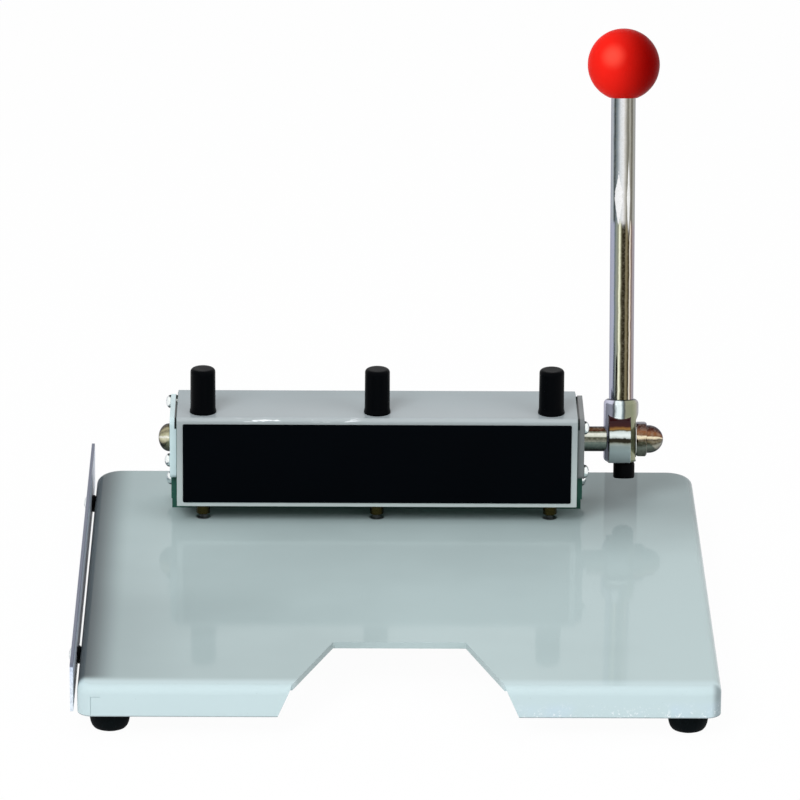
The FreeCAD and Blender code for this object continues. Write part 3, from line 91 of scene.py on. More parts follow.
class Nodes:
    """Short calls that add nodes to a tree."""

    def __init__(self, tree):
        self.tree = tree

    def put(self, socket, value):
        """Link an output to a socket, or set a plain value there."""
        if hasattr(value, "is_output"):
            self.tree.links.new(value, socket)
        elif socket.type == "RGBA":
            socket.default_value = (*value, 1.0)
        else:
            socket.default_value = value

    def node(self, kind, links=(), **settings):
        """A node with its settings, and pairs of input and value."""
        made = self.tree.nodes.new(kind)
        for key, value in settings.items():
            setattr(made, key, value)
        for socket, value in links:
            self.put(made.inputs[socket], value)
        return made

    def math(self, operation, first, second=0.0):
        made = self.node("ShaderNodeMath", [(0, first), (1, second)], operation=operation)
        return made.outputs["Value"]

    def plus(self, first, second):
        return self.math("ADD", first, second)

    def times(self, first, *others):
        for other in others:
            first = self.math("MULTIPLY", first, other)
        return first

    def apart(self, first, second):
        """Distance between two values."""
        return self.math("ABSOLUTE", self.math("SUBTRACT", first, second))

    def axes(self, vector):
        """The X, Y and Z of a vector."""
        return self.node("ShaderNodeSeparateXYZ", [("Vector", vector)]).outputs

    def length(self, first, second):
        """Length of a vector from its two parts."""
        whole = self.node("ShaderNodeCombineXYZ", [("X", first), ("Y", second)]).outputs[0]
        return self.node("ShaderNodeVectorMath", [(0, whole)], operation="LENGTH").outputs["Value"]

    def ramp(self, value, low, high, start=0.0, end=1.0):
        """Map a value from low..high to start..end, smoothly and clamped."""
        made = self.node("ShaderNodeMapRange", [("Value", value), ("From Min", low),
                                                ("From Max", high), ("To Min", start),
                                                ("To Max", end)], interpolation_type="SMOOTHSTEP")
        return made.outputs["Result"]

    def fall(self, value, low, high):
        """1 below low, 0 above high."""
        return self.ramp(value, low, high, 1.0, 0.0)

    def band(self, value, centre, half, soft):
        """1 within a half width of a centre, falling to 0 beyond it."""
        return self.fall(self.apart(value, centre), half, half + soft)

    def mix(self, amount, first, second):
        """Colour between two colours."""
        made = self.node("ShaderNodeMix", data_type="RGBA")
        for socket, value in ((0, amount), (6, first), (7, second)):
            self.put(made.inputs[socket], value)
        return made.outputs[2]

    def over(self, tone, colour, *shares):
        """A colour laid over a tone by the product of some shares."""
        return self.mix(self.times(*shares), tone, colour)

    def bands(self, value, stops):
        """Painted reflection colours across a bar, from (place from -1 to 1 seen from the front, red,
        green, blue).
        """
        made = self.node("ShaderNodeValToRGB", [("Fac", value)])
        points = made.color_ramp.elements
        while len(points) < len(stops):
            points.new(0.5)
        for point, (across, *levels) in zip(points, stops):
            point.position = 0.5 + math.asin(across) / (2 * math.pi)
            point.color = (*srgb(*levels), 1.0)
        return made.outputs["Color"]


class Finish(Nodes):
    """A node material around one Principled shader."""

    def __init__(self, name, **sockets):
        self.material = bpy.data.materials.new(name)
        self.material.use_nodes = True
        super().__init__(self.material.node_tree)
        self.shader = self.tree.nodes["Principled BSDF"]
        for socket, value in sockets.items():
            self.set(socket.replace("_", " "), value)
        self.place = self.node("ShaderNodeTexCoord").outputs["Object"]

    def set(self, socket, value):
        """A plain value or an output on one of the shader's sockets."""
        self.put(self.shader.inputs[socket], value)

    def stretch(self, scale=(1, 1, 1), offset=(0, 0, 0), turn=(0, 0, 0)):
        """Object coordinates, scaled, turned and moved."""
        return self.node("ShaderNodeMapping", [
            ("Vector", self.place), ("Scale", scale), ("Location", offset), ("Rotation", turn),
        ]).outputs["Vector"]

    def noise(self, scale, detail=2.0, roughness=0.5, where=None):
        made = self.node("ShaderNodeTexNoise", [
            ("Vector", where or self.place), ("Scale", scale), ("Detail", detail),
            ("Roughness", roughness)])
        return made.outputs["Fac"]

    def cloud(self, scale, detail, roughness, size):
        """Noise around zero."""
        return self.times(self.math("SUBTRACT", self.noise(scale, detail, roughness), 0.5), size)

    def bump(self, height, distance):
        made = self.node("ShaderNodeBump", [("Height", height), ("Strength", 1.0),
                                            ("Distance", distance)])
        self.set("Normal", made.outputs["Normal"])

    def rough(self, haze, low, high):
        """Roughness between two values, by a noise."""
        self.set("Roughness", self.ramp(haze, 0.3, 0.7, low, high))

    def surface(self, tone, haze, low, high, grain, depth):
        """Colour, roughness and bump in one call."""
        self.set("Base Color", tone)
        self.rough(haze, low, high)
        self.bump(grain, depth)
        return self

    def enamel(self, tone, low, high, peel=0.000008):
        """Surface of stove enamel with orange peel."""
        return self.surface(tone, self.noise(40.0, 4.0), low, high, self.noise(420.0), peel)

    def mottle(self, scale):
        return self.ramp(self.noise(scale, 3.0), 0.35, 0.65)

    def specks(self, tone, colour, amount):
        """Fine dust over a tone."""
        return self.over(tone, colour, self.ramp(self.noise(900.0, 1.0), 0.74, 0.8), amount)


def srgb(*levels):
    """Linear colour from levels 0 to 255 as a screen shows them."""
    return tuple((v / 255 / 12.92) if v <= 10 else ((v / 255 + 0.055) / 1.055) ** 2.4
                 for v in levels)


def scaled(colour, share):
    return tuple(min(1.0, v * share) for v in colour)


# ---- plain finishes


def paint(name, colour, rough, peel):
    """Stove enamel: slight mottle, orange peel, fine dust specks."""
    f = Finish(name, IOR=1.33)
    tone = f.mix(f.mottle(9.0), scaled(colour, 0.94), scaled(colour, 1.05))
    tone = f.specks(tone, scaled(colour, 0.6), 0.25)
    return f.enamel(tone, rough * 0.8, rough * 1.3, peel)


def chrome(name, colour, rough):
    """Plated steel: fine polishing lines, haze, a few brown pits."""
    f = Finish(name, Metallic=1.0, Specular_Tint=(0.3, 0.29, 0.26))
    haze = f.noise(60.0, 4.0)
    tone = f.mix(f.ramp(haze, 0.35, 0.7), colour, scaled(colour, 0.9))
    pits = f.ramp(f.noise(350.0, 3.0, 0.7), 0.66, 0.74)
    tone = f.over(tone, (0.16, 0.11, 0.06), pits, 0.55)
    return f.surface(tone, haze, rough * 0.7, rough * 1.5, f.noise(1500.0), 0.000004)


def plastic(name, colour, rough, grain, shine=0.5):
    """Moulded plastic: slight tone drift and a fine grain."""
    f = Finish(name, IOR=1.47, Specular_IOR_Level=shine)
    tone = f.mix(f.ramp(f.noise(35.0, 3.0), 0.3, 0.7), colour, scaled(colour, 1.12))
    return f.surface(tone, f.noise(120.0, 3.0), rough * 0.85, rough * 1.2, f.noise(1100.0), grain)


def metal(name, colour, rough, run):
    """Machined or brushed metal with marks along one axis."""
    f = Finish(name, Metallic=1.0)
    scale = [900.0, 900.0, 900.0]
    scale["XYZ".index(run)] = 12.0
    marks = f.noise(1.0, 3.0, 0.6, f.stretch(scale))
    tone = f.mix(f.ramp(marks, 0.25, 0.75), scaled(colour, 0.82), colour)
    return f.surface(tone, marks, rough * 0.75, rough * 1.35, marks, 0.00001)


# ---- plating with painted reflections

LINE_OF_SIGHT = 19.5  # height in degrees that the shaft's painted reflection bands face

# Painted reflections: the room's reflections on each plated part, as stops of (place, red, green,
# blue)
ROD_LOWER_REFLECTIONS = (
    (-1.0, 184, 186, 204), (-0.7, 170, 174, 194), (-0.64, 92, 108, 112), (-0.56, 140, 148, 142),
    (-0.36, 148, 150, 128), (-0.31, 254, 254, 228), (-0.22, 236, 238, 208), (-0.15, 130, 128, 104),
    (-0.06, 60, 54, 40), (0.12, 30, 26, 14), (0.17, 58, 50, 34), (0.26, 134, 126, 98),
    (0.38, 114, 102, 74), (0.44, 54, 44, 18), (0.51, 48, 38, 12), (0.57, 255, 248, 232),
    (0.64, 226, 206, 188), (0.70, 100, 74, 64), (0.8, 166, 156, 158), (1.0, 198, 194, 206))
ROD_UPPER_REFLECTIONS = (
    (-1.0, 190, 192, 204), (-0.84, 182, 188, 194), (-0.76, 118, 128, 134), (-0.7, 36, 44, 46),
    (-0.62, 104, 114, 116), (-0.5, 134, 144, 148), (-0.37, 184, 190, 194), (-0.24, 226, 230, 232),
    (0.0, 238, 238, 238), (0.1, 214, 212, 206), (0.22, 168, 166, 158), (0.32, 124, 122, 110),
    (0.42, 124, 122, 112), (0.52, 186, 184, 172), (0.62, 132, 128, 116), (0.7, 108, 104, 94),
    (0.8, 172, 172, 164), (1.0, 196, 196, 192))
BOSS_REFLECTIONS = (
    (-1.0, 150, 158, 160), (-0.8, 172, 182, 182), (-0.45, 168, 180, 180), (-0.22, 152, 162, 158),
    (-0.16, 140, 146, 132), (-0.12, 38, 34, 16), (0.0, 34, 30, 16), (0.04, 200, 208, 204),
    (0.14, 234, 242, 240), (0.26, 206, 216, 212), (0.31, 70, 60, 30), (0.36, 146, 110, 56),
    (0.42, 120, 80, 36), (0.46, 58, 26, 22), (0.66, 46, 18, 20), (0.9, 54, 22, 22),
    (1.0, 80, 70, 70))
COLUMN_REFLECTIONS = (
    (-1.0, 196, 194, 214), (-0.72, 206, 208, 226), (-0.56, 196, 196, 214), (-0.44, 84, 88, 92),
    (-0.36, 238, 248, 250), (-0.04, 240, 250, 250), (0.04, 150, 164, 168), (0.14, 74, 80, 80),
    (0.24, 140, 142, 120), (0.6, 142, 146, 118), (0.8, 164, 164, 140), (1.0, 206, 200, 212))
SHAFT_REFLECTIONS = (
    (-1.0, 70, 72, 68), (-0.86, 48, 54, 47), (-0.72, 121, 129, 122), (-0.4, 134, 141, 133),
    (-0.16, 112, 115, 103), (0.02, 66, 68, 52), (0.12, 80, 86, 72), (0.2, 214, 218, 204),
    (0.42, 236, 238, 228), (0.52, 120, 122, 106), (0.62, 64, 52, 30), (0.8, 92, 58, 30),
    (0.93, 40, 32, 24), (1.0, 84, 82, 80))
NUT_REFLECTIONS = (
    (-1.0, 60, 60, 56), (-0.75, 120, 118, 108), (-0.55, 150, 150, 138), (-0.36, 70, 66, 50),
    (-0.2, 108, 98, 74), (-0.04, 70, 58, 40), (0.06, 236, 222, 190), (0.16, 250, 236, 204),
    (0.24, 120, 84, 54), (0.45, 138, 88, 54), (0.66, 78, 38, 28), (0.86, 44, 26, 28),
    (1.0, 130, 126, 130))
END_CAP_REFLECTIONS = (
    (-1.0, 64, 62, 54), (-0.7, 96, 92, 76), (-0.4, 150, 146, 116), (-0.1, 214, 212, 182),
    (0.04, 255, 255, 244), (0.2, 186, 184, 150), (0.42, 120, 114, 88), (0.6, 170, 164, 130),
    (0.78, 84, 78, 60), (1.0, 70, 66, 58))


def plated(name, rough, metallic=1.0):
    """Start of a plated finish whose grazing edges stay dim."""
    f = Finish(name, Metallic=metallic, Specular_Tint=(0.55, 0.55, 0.6))
    f.rough(f.noise(90.0, 3.0), rough * 0.7, rough * 1.4)
    f.bump(f.noise(1500.0), 0.000004)
    return f


def lever_axes(f, lean):
    """Object coordinates from the pivot, with Z along a bar that leans back."""
    shift = -(Matrix.Rotation(lean, 3, "X") @ (Vector(PIVOT) * MM))
    return f.axes(f.stretch(offset=shift, turn=(lean, 0, 0)))


def around(f, across, depth, towards=0.0):
    """Share of a full turn about a bar, 0.5 where the surface faces a height in degrees."""
    angle = f.math("ARCTAN2", across, f.times(depth, -1.0))
    return f.plus(f.math("DIVIDE", angle, 2 * math.pi), 0.5 - towards / 360)


def reflection_banded(name, stops, rough, ripple):
    """Plated bar along X with painted reflection bands of a room, slightly torn by the ground surface
    below.
    """
    f = plated(name, rough)
    _, y, z = lever_axes(f, 0.0)
    tear = f.cloud(220.0, 4.0, 0.7, 0.05 * ripple)
    tone = f.bands(f.plus(around(f, z, y, LINE_OF_SIGHT), tear), stops)
    grit = f.ramp(f.noise(700.0, 2.0, 0.7), 0.35, 0.7)
    f.set("Base Color", f.over(tone, srgb(186, 182, 168), grit, 0.25))
    return f


def rod_chrome():
    """Rod's plating with painted reflections: pale and clouded under the knob, dark bands lower down,
    two painted highlights between.
    """
    f = plated("rod_plating", 0.12)
    x, y, z = lever_axes(f, LEAN)
    turn = around(f, x, y)
    cloud = f.cloud(160.0, 4.0, 0.65, 1.0)
    torn = f.plus(turn, f.times(cloud, 0.02))
    height = f.plus(z, f.times(cloud, 0.012))
    tone = f.mix(f.ramp(height, 0.104, 0.110), f.bands(torn, ROD_LOWER_REFLECTIONS), f.bands(torn, ROD_UPPER_REFLECTIONS))
    # painted highlights: two bright streaks laid on the rod
    along = f.apart(height, 0.119)
    painted_glint = f.plus(f.times(along, 4.5), f.apart(turn, 0.5 - 0.062))
    painted_glint = f.fall(f.plus(painted_glint, f.times(cloud, 0.03)), 0.056, 0.064)
    tone = f.mix(painted_glint, tone, (1.0, 1.0, 1.0))
    second_painted_glint = f.fall(f.plus(f.times(along, 1.2), f.apart(turn, 0.5 + 0.072)), 0.020, 0.027)
    tone = f.mix(second_painted_glint, tone, (0.98, 0.98, 0.96))
    grit = f.ramp(f.noise(800.0, 2.0, 0.7), 0.4, 0.75)
    f.set("Base Color", f.over(tone, srgb(176, 170, 146), grit, 0.16))
    return f


def hub_chrome():
    """Hub's plating with painted reflections: banded boss, pale column with a painted bright streak,
    painted shade on the boss's left face and in a rim round the rod.
    """
    f = plated("hub_plating", 0.10, 0.55)
    x, y, z = lever_axes(f, LEAN)
    _, level_y, level_z = lever_axes(f, 0.0)
    cloud = f.cloud(150.0, 4.0, 0.65, 0.03)
    boss = f.bands(f.plus(around(f, level_z, level_y, LINE_OF_SIGHT), cloud), BOSS_REFLECTIONS)
    # painted shade on the boss's left face
    boss = f.mix(f.fall(x, -0.0063, -0.0060), boss, srgb(14, 16, 6))
    column = f.bands(f.plus(around(f, x, y), cloud), COLUMN_REFLECTIONS)
    on_boss = f.times(f.band(x, -0.001, 0.0055, 0.0002), f.fall(f.length(y, z), 0.0136, 0.0139))
    tone = f.mix(on_boss, column, boss)
    # painted shade in a rim round the rod where it enters the hub
    rim = f.times(f.fall(f.length(x, y), 0.0072, 0.0076), f.ramp(z, 0.0190, 0.0194))
    f.set("Base Color", f.mix(rim, tone, srgb(24, 26, 24)))
    return f


def screw_chrome():
    """Plated pan heads with a painted highlight: bright across their crowns, dull where they face
    down or straight up.
    """
    f = plated("screw_plating", 0.2)
    _, _, rise = f.axes(f.node("ShaderNodeNewGeometry").outputs["Normal"])
    # painted highlight by facing: bright between facing down and facing straight up
    crown = f.times(f.ramp(rise, -0.7, -0.35), f.fall(rise, 0.74, 0.92))
    f.set("Base Color", f.mix(crown, srgb(58, 64, 60), srgb(250, 255, 253)))
    return f


# ---- finishes of single parts


def base_paint():
    """Base's enamel: painted shade at its left edge, left of the notch, right rear, right front
    corner and left skirt, a painted dark reflection of the hub, and a painted highlight where the
    skirt turns down.
    """
    f = Finish("base_enamel", IOR=1.15)
    tone = f.mix(f.mottle(9.0), scaled(BASE_GREY, 0.95), scaled(BASE_GREY, 1.04))
    x, y, z = f.axes(f.place)
    behind = f.ramp(y, -0.149, -0.140)
    hub_reflection_line = f.apart(f.math("SUBTRACT", x, f.times(y, 0.0461)), 0.1099)
    # painted shade, fading at its edges, and a painted dark reflection of the hub
    for shares in (
            (f.fall(x, -0.1445, -0.126), behind, 0.86),  # left edge
            (f.fall(x, -0.145, -0.085), behind, 0.16),  # fading to the right
            (f.fall(x, -0.13, 0.03), f.ramp(y, -0.015, -0.06), 0.12),  # left of the notch
            (f.ramp(y, 0.0, 0.10), f.ramp(x, 0.075, 0.105), 0.34),  # right rear
            (f.fall(hub_reflection_line, 0.0074, 0.0088), f.ramp(y, 0.02, 0.11), 0.34)):  # under the hub
        tone = f.over(tone, BASE_SHADE, *shares)
    # painted light: the front bend and skirt paler than the top
    front = f.ramp(y, -0.1425, -0.1500)
    tone = f.mix(front, tone, (0.567, 0.685, 0.70))
    # painted shade at the right front corner and on the left skirt
    for shares in (
            (f.ramp(x, 0.1462, 0.1495), f.fall(y, -0.152, -0.148), 0.5),  # right front corner
            (f.fall(z, 0.014, 0.022), f.fall(x, -0.030, -0.026), behind, 0.45)):  # left skirt
        tone = f.over(tone, BASE_SHADE, *shares)
    low = f.times(f.fall(z, 0.013, 0.020), f.ramp(x, 0.02, 0.09), front)
    tone = f.over(tone, (0.56, 0.69, 0.82), low, f.ramp(f.noise(30.0, 4.0), 0.42, 0.6), 0.5)
    chips = f.ramp(f.noise(620.0, 3.0, 0.7), 0.56, 0.64)
    fewer = f.ramp(z, 0.0112, 0.0145, 1.0, 0.35)
    tone = f.over(tone, (0.92, 0.95, 0.97), low, fewer, chips, 0.8)
    tone = f.over(tone, (0.16, 0.18, 0.19), f.fall(z, 0.0108, 0.0112), 0.6)
    tone = f.specks(tone, scaled(BASE_GREY, 0.6), 0.2)
    return f.enamel(tone, 0.04, 0.075, 0.000006)


def head_paint():
    """Head's enamel: top darker towards the back; front face painted paler than the top and paler low
    down against its shade; a painted highlight and worn bright spots along the upper front bend.
    """
    f = Finish("head_enamel", IOR=1.3)
    x, y, z = f.axes(f.place)
    tone = f.mix(f.ramp(y, 0.062, 0.100), srgb(166, 174, 177), srgb(148, 158, 161))
    tone = f.over(tone, srgb(172, 184, 188), f.mottle(12.0), 0.3)
    # painted light: the front face paler than the top, more so low down where it is shaded
    front = f.mix(f.ramp(z, 0.040, 0.077), srgb(190, 199, 197), srgb(166, 173, 174))
    tone = f.mix(f.fall(y, 0.0592, 0.0602), tone, front)
    # painted highlight along the upper front bend
    bend = f.times(f.fall(y, 0.0600, 0.0612), f.ramp(z, 0.0780, 0.0787))
    tone = f.over(tone, srgb(222, 228, 230), bend, 0.12)
    worn = f.ramp(f.noise(1.0, 3.0, 0.7, f.stretch((70.0, 700.0, 700.0))), 0.56, 0.62)
    tone = f.over(tone, (0.95, 0.97, 0.98), worn, bend, f.band(x, -0.045, 0.024, 0.008))
    return f.enamel(tone, 0.14, 0.2)


def plate_paint():
    """End plates' enamel with painted light: left one lit, right one in the lever's shade, painted
    shade in the top reliefs.
    """
    f = Finish("plate_enamel", IOR=1.3)
    x, _, z = f.axes(f.place)
    tone = f.mix(f.ramp(x, -0.01, 0.01), srgb(218, 238, 240), srgb(116, 120, 120))
    tone = f.over(tone, srgb(150, 158, 158), f.mottle(14.0), 0.2)
    # painted shade inside the top reliefs
    inner = f.band(x, -0.00655, 0.0987, 0.0002)
    tone = f.over(tone, (0.006, 0.008, 0.009), inner, f.ramp(z, 0.0734, 0.0742))
    return f.enamel(tone, 0.16, 0.24)


def strip_metal():
    """Drawn strip: dull upper edge, a painted pale blue reflection of the sky on its side, paler
    towards the top, under a dark line.
    """
    f = Finish("drawn_strip", Metallic=0.25, IOR=1.3)
    x, _, z = f.axes(f.place)
    # painted reflection on the side, paler towards the top
    side = f.mix(f.fall(z, 0.020, 0.034), srgb(212, 224, 244), srgb(238, 246, 255))
    side = f.mix(f.ramp(z, 0.0326, 0.0334), side, srgb(110, 114, 130))
    tone = f.mix(f.ramp(x, -0.14990, -0.14982), srgb(146, 144, 158), side)
    marks = f.noise(1.0, 3.0, 0.6, f.stretch((900.0, 10.0, 900.0)))
    tone = f.over(tone, srgb(120, 124, 140), f.ramp(marks, 0.35, 0.7), 0.25)
    return f.surface(tone, marks, 0.3, 0.5, marks, 0.00001)


def ball_red():
    """Phenolic ball: deep red, painted lit on the left and shaded on the right, with a painted soft
    highlight above its left shoulder.
    """
    f = Finish("red_phenolic_ball", IOR=1.45, Specular_IOR_Level=0.015)
    spot = Vector(ON_LEVER(-6.5, -16.0, KNOB_HEIGHT + 5.0)) * MM
    away = f.node("ShaderNodeVectorMath", [(0, f.place), (1, spot)], operation="DISTANCE")
    drift = f.cloud(60.0, 3.0, 0.5, 0.003)
    painted_highlight = f.fall(f.plus(away.outputs["Value"], drift), 0.001, 0.0085)
    x, _, _ = f.axes(f.place)
    centre = LEVER_X * MM
    # painted light: paler red on the left, darker red on the right
    tone = f.mix(f.ramp(x, centre - 0.012, centre + 0.014), srgb(250, 36, 26), srgb(128, 2, 1))
    tone = f.over(tone, srgb(255, 92, 74), painted_highlight, 0.6)
    return f.surface(tone, f.noise(120.0, 3.0), 0.25, 0.4, f.noise(1100.0), 0.000003)


BASE_GREY = srgb(182, 198, 198)
BASE_SHADE = (0.045, 0.055, 0.062)
FINISHES = {
    "grey_paint": paint("grey_enamel", srgb(158, 167, 167), 0.10, 0.000010),
    "green_paint": paint("green_enamel", srgb(44, 92, 78), 0.28, 0.00006),
    "black_rubber": plastic("black_rubber_moulded", srgb(11, 16, 18), 0.62, 0.00006, shine=0.04),
    "black_plastic": plastic("black_plastic_moulded", srgb(2, 3, 5), 0.3, 0.00001, shine=0.035),
    "black_steel": plastic("black_oxide", srgb(3, 4, 5), 0.42, 0.00002, shine=0.03),
    # brass: tarnished, and darkened further as painted shade for the bushes under the head
    "brass": metal("tarnished_and_shaded_brass", srgb(66, 58, 30), 0.26, "Y"),
    "aluminium": metal("drawn_aluminium", srgb(205, 207, 216), 0.26, "Y"),
    "red_plastic": plastic("red_phenolic", srgb(226, 14, 10), 0.30, 0.000004),
    "chrome": chrome("bright_chrome", srgb(222, 221, 218), 0.07),
    "zinc_steel": metal("zinc_plate", srgb(188, 190, 188), 0.34, "X"),
    "steel": metal("machined_steel", srgb(150, 150, 152), 0.30, "X"),
}


def dress(piece, finish):
    """Put one finish on a piece or a carried-over node."""
    if not piece.data.materials:
        piece.data.materials.append(None)
    for slot in piece.material_slots:
        slot.link = "OBJECT"
        slot.material = finish.material


for name, node in NODES.items():
    dress(node, FINISHES[SLOT_OF[name]])


# ---- mesh helpers


def add(name, points, faces):
    """Smooth mesh object from points in millimetres."""
    mesh = bpy.data.meshes.new(name)
    mesh.from_pydata([[c * MM for c in point] for point in points], [], faces)
    clean = bmesh.new()
    clean.from_mesh(mesh)
    bmesh.ops.recalc_face_normals(clean, faces=clean.faces)
    clean.to_mesh(mesh)
    clean.free()
    for face in mesh.polygons:
        face.use_smooth = True
    item = bpy.data.objects.new(name, mesh)
    bpy.context.scene.collection.objects.link(item)
    return item


def loft(name, rows):
    """Skin over rows of points that run round, capped at both ends."""
    count = len(rows[0])
    points = [point for row in rows for point in row]
    faces = []
    for i in range(len(rows) - 1):
        low, high = i * count, (i + 1) * count
        for j in range(count):
            k = (j + 1) % count
            faces.append((low + j, low + k, high + k, high + j))
    faces.append(tuple(range(count))[::-1])
    faces.append(tuple(range((len(rows) - 1) * count, len(rows) * count)))
    return add(name, points, faces)


def frame_at(origin, axis="Z", lean=0.0):
    """Function that moves a point from a local frame (Z along the axis) to the machine's frame."""
    turn = {"Z": Matrix.Rotation(-lean, 3, "X"), "X": Matrix.Rotation(math.pi / 2, 3, "Y"),
            "-X": Matrix.Rotation(-math.pi / 2, 3, "Y")}[axis]
    start = Vector(origin)
    return lambda x, y, z: tuple(start + turn @ Vector((x, y, z)))


def turned(name, profile, where, steps):
    """Turned piece: a closed profile of (radius, height); a point on the axis closes a pole."""
    points, faces, rows = [], [], []
    for radius, height in profile:
        if radius < 1e-6:
            rows.append([len(points)] * steps)
            points.append(where(0, 0, height))
            continue
        rows.append(list(range(len(points), len(points) + steps)))
        for j in range(steps):
            angle = 2 * math.pi * j / steps
            points.append(where(radius * math.cos(angle), radius * math.sin(angle), height))
    pairs = list(zip(rows, rows[1:]))
    if profile[0][0] > 1e-6 or profile[-1][0] > 1e-6:
        pairs.append((rows[-1], rows[0]))
    for low, high in pairs:
        for j in range(steps):
            k = (j + 1) % steps
            face = list(dict.fromkeys((low[j], low[k], high[k], high[j])))
            if len(face) > 2:
                faces.append(face)
    return add(name, points, faces)


def bore(name, radius, low, high, where, steps=40):
    """Cylinder that cuts a round hole."""
    return turned(name, [(0, low), (radius, low), (radius, high), (0, high)], where, steps)


def arc(cx, cy, radius, start, end, steps, rise=None):
    """Points of an arc in degrees, ends included; its height can differ from its radius."""
    turns = [math.radians(start + (end - start) * i / steps) for i in range(steps + 1)]
    rise = radius if rise is None else rise
    return [(cx + radius * math.cos(t), cy + rise * math.sin(t)) for t in turns]


def dome(radius, start, top, steps):
    """Profile of a dome, from its rim to just short of its pole."""
    return arc(0, start, radius, 0, 90, steps, top - start)[:-1]


def rectangle(left, low, right, high):
    return [(left, low), (right, low), (right, high), (left, high)]


def hexagon(radius, turn=0.0):
    turns = [math.pi / 3 * i + turn for i in range(6)]
    return [(radius * math.cos(t), radius * math.sin(t)) for t in turns]


def rounded(corners, radii, steps=8):
    """Outline with its corners rounded; a radius of zero keeps the corner."""
    outline = []
    count = len(corners)
    for i in range(count):
        here = Vector(corners[i])
        before = (Vector(corners[i - 1]) - here).normalized()
        after = (Vector(corners[(i + 1) % count]) - here).normalized()
        radius = radii[i]
        if radius <= 0:
            outline.append(tuple(here))
            continue
        half = before.angle(after) / 2
        back = radius / math.tan(half)
        centre = here + (before + after).normalized() * radius / math.sin(half)
        first, second = here + before * back - centre, here + after * back - centre
        sweep = math.pi - 2 * half
        turn = 1 if first.x * second.y - first.y * second.x > 0 else -1
        for j in range(steps + 1):
            angle = turn * sweep * j / steps
            outline.append((centre.x + first.x * math.cos(angle) - first.y * math.sin(angle),
                            centre.y + first.x * math.sin(angle) + first.y * math.cos(angle)))
    return outline


def prism(name, outline, start, end, axis):
    """Straight prism from an outline, between two places along an axis."""
    order = {"X": lambda u, v, w: (w, u, v), "Y": lambda u, v, w: (u, w, v),
             "Z": lambda u, v, w: (u, v, w)}[axis]
    return loft(name, [[order(u, v, w) for u, v in outline] for w in (start, end)])


def settle(item):
    """Apply the modifiers of a piece."""
    bpy.context.view_layer.update()
    graph = bpy.context.evaluated_depsgraph_get()
    done = bpy.data.meshes.new_from_object(item.evaluated_get(graph))
    item.modifiers.clear()
    item.data = done
    return item


def carve(item, tools, operation="DIFFERENCE"):
    """Boolean with one or several tools, which are used up."""
    for tool in tools:
        step = item.modifiers.new("cut", "BOOLEAN")
        step.operation = operation
        step.solver = "EXACT"
        step.object = tool
        settle(item)
        bpy.data.objects.remove(tool)
    return item


def soften(item, width, segments, angle=35):
    """Rounded edges where faces meet at more than an angle."""
    edge = item.modifiers.new("edges", "BEVEL")
    edge.width = width * MM
    edge.segments = segments
    edge.limit_method = "ANGLE"
    edge.angle_limit = math.radians(angle)
    edge.miter_outer = "MITER_ARC"
    for face in item.data.polygons:
        face.use_smooth = True
    return settle(item)


def flatten_shade(item, angle):
    """Sharp edges where faces meet at more than an angle."""
    item.data.set_sharp_from_angle(angle=math.radians(angle))
    return item


def level_shade(item, angle):
    """Normals that keep large faces flat beside their rounded edges."""
    weigh = flatten_shade(item, angle).modifiers.new("weigh", "WEIGHTED_NORMAL")
    weigh.mode = "FACE_AREA"
    weigh.weight = 100
    weigh.keep_sharp = True
    return settle(item)


def join(name, items):
    """One piece from several."""
    joined = bmesh.new()
    for item in items:
        joined.from_mesh(item.data)
    mesh = bpy.data.meshes.new(name)
    joined.to_mesh(mesh)
    joined.free()
    whole = bpy.data.objects.new(name, mesh)
    bpy.context.scene.collection.objects.link(whole)
    for item in items:
        bpy.data.objects.remove(item)
    return whole


def stand_for(item, body, *nodes, finish=None):
    """Ride on a body, stand for nodes and take their finish."""
    slot = SLOT_OF[nodes[0]]
    dress(item, finish or FINISHES[slot])
    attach(item, body)
    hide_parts(*nodes)


class Box:
    """Sides and middle of a node's box, in millimetres."""

    def __init__(self, node):
        low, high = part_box(node)
        self.left, self.front, self.low = (c / MM for c in low)
        self.right, self.back, self.top = (c / MM for c in high)
        self.x, self.y, self.z = ((a + b) / 2 / MM for a, b in zip(low, high))


ON_LEVER = frame_at(PIVOT, "Z", LEAN)


# ---- base


def base_row(box, inset, height):
    """Rounded outline of the base at an inset from its sides."""
    front_round, rear_round = max(FRONT_ROUND - inset, 0.6), max(REAR_ROUND - inset, 0.6)
    plan = rectangle(box.left + inset, box.front + inset, box.right - inset, box.back - inset)
    outline = rounded(plan, [front_round, front_round, rear_round, rear_round], 10)
    return [(x, y, height) for x, y in outline]


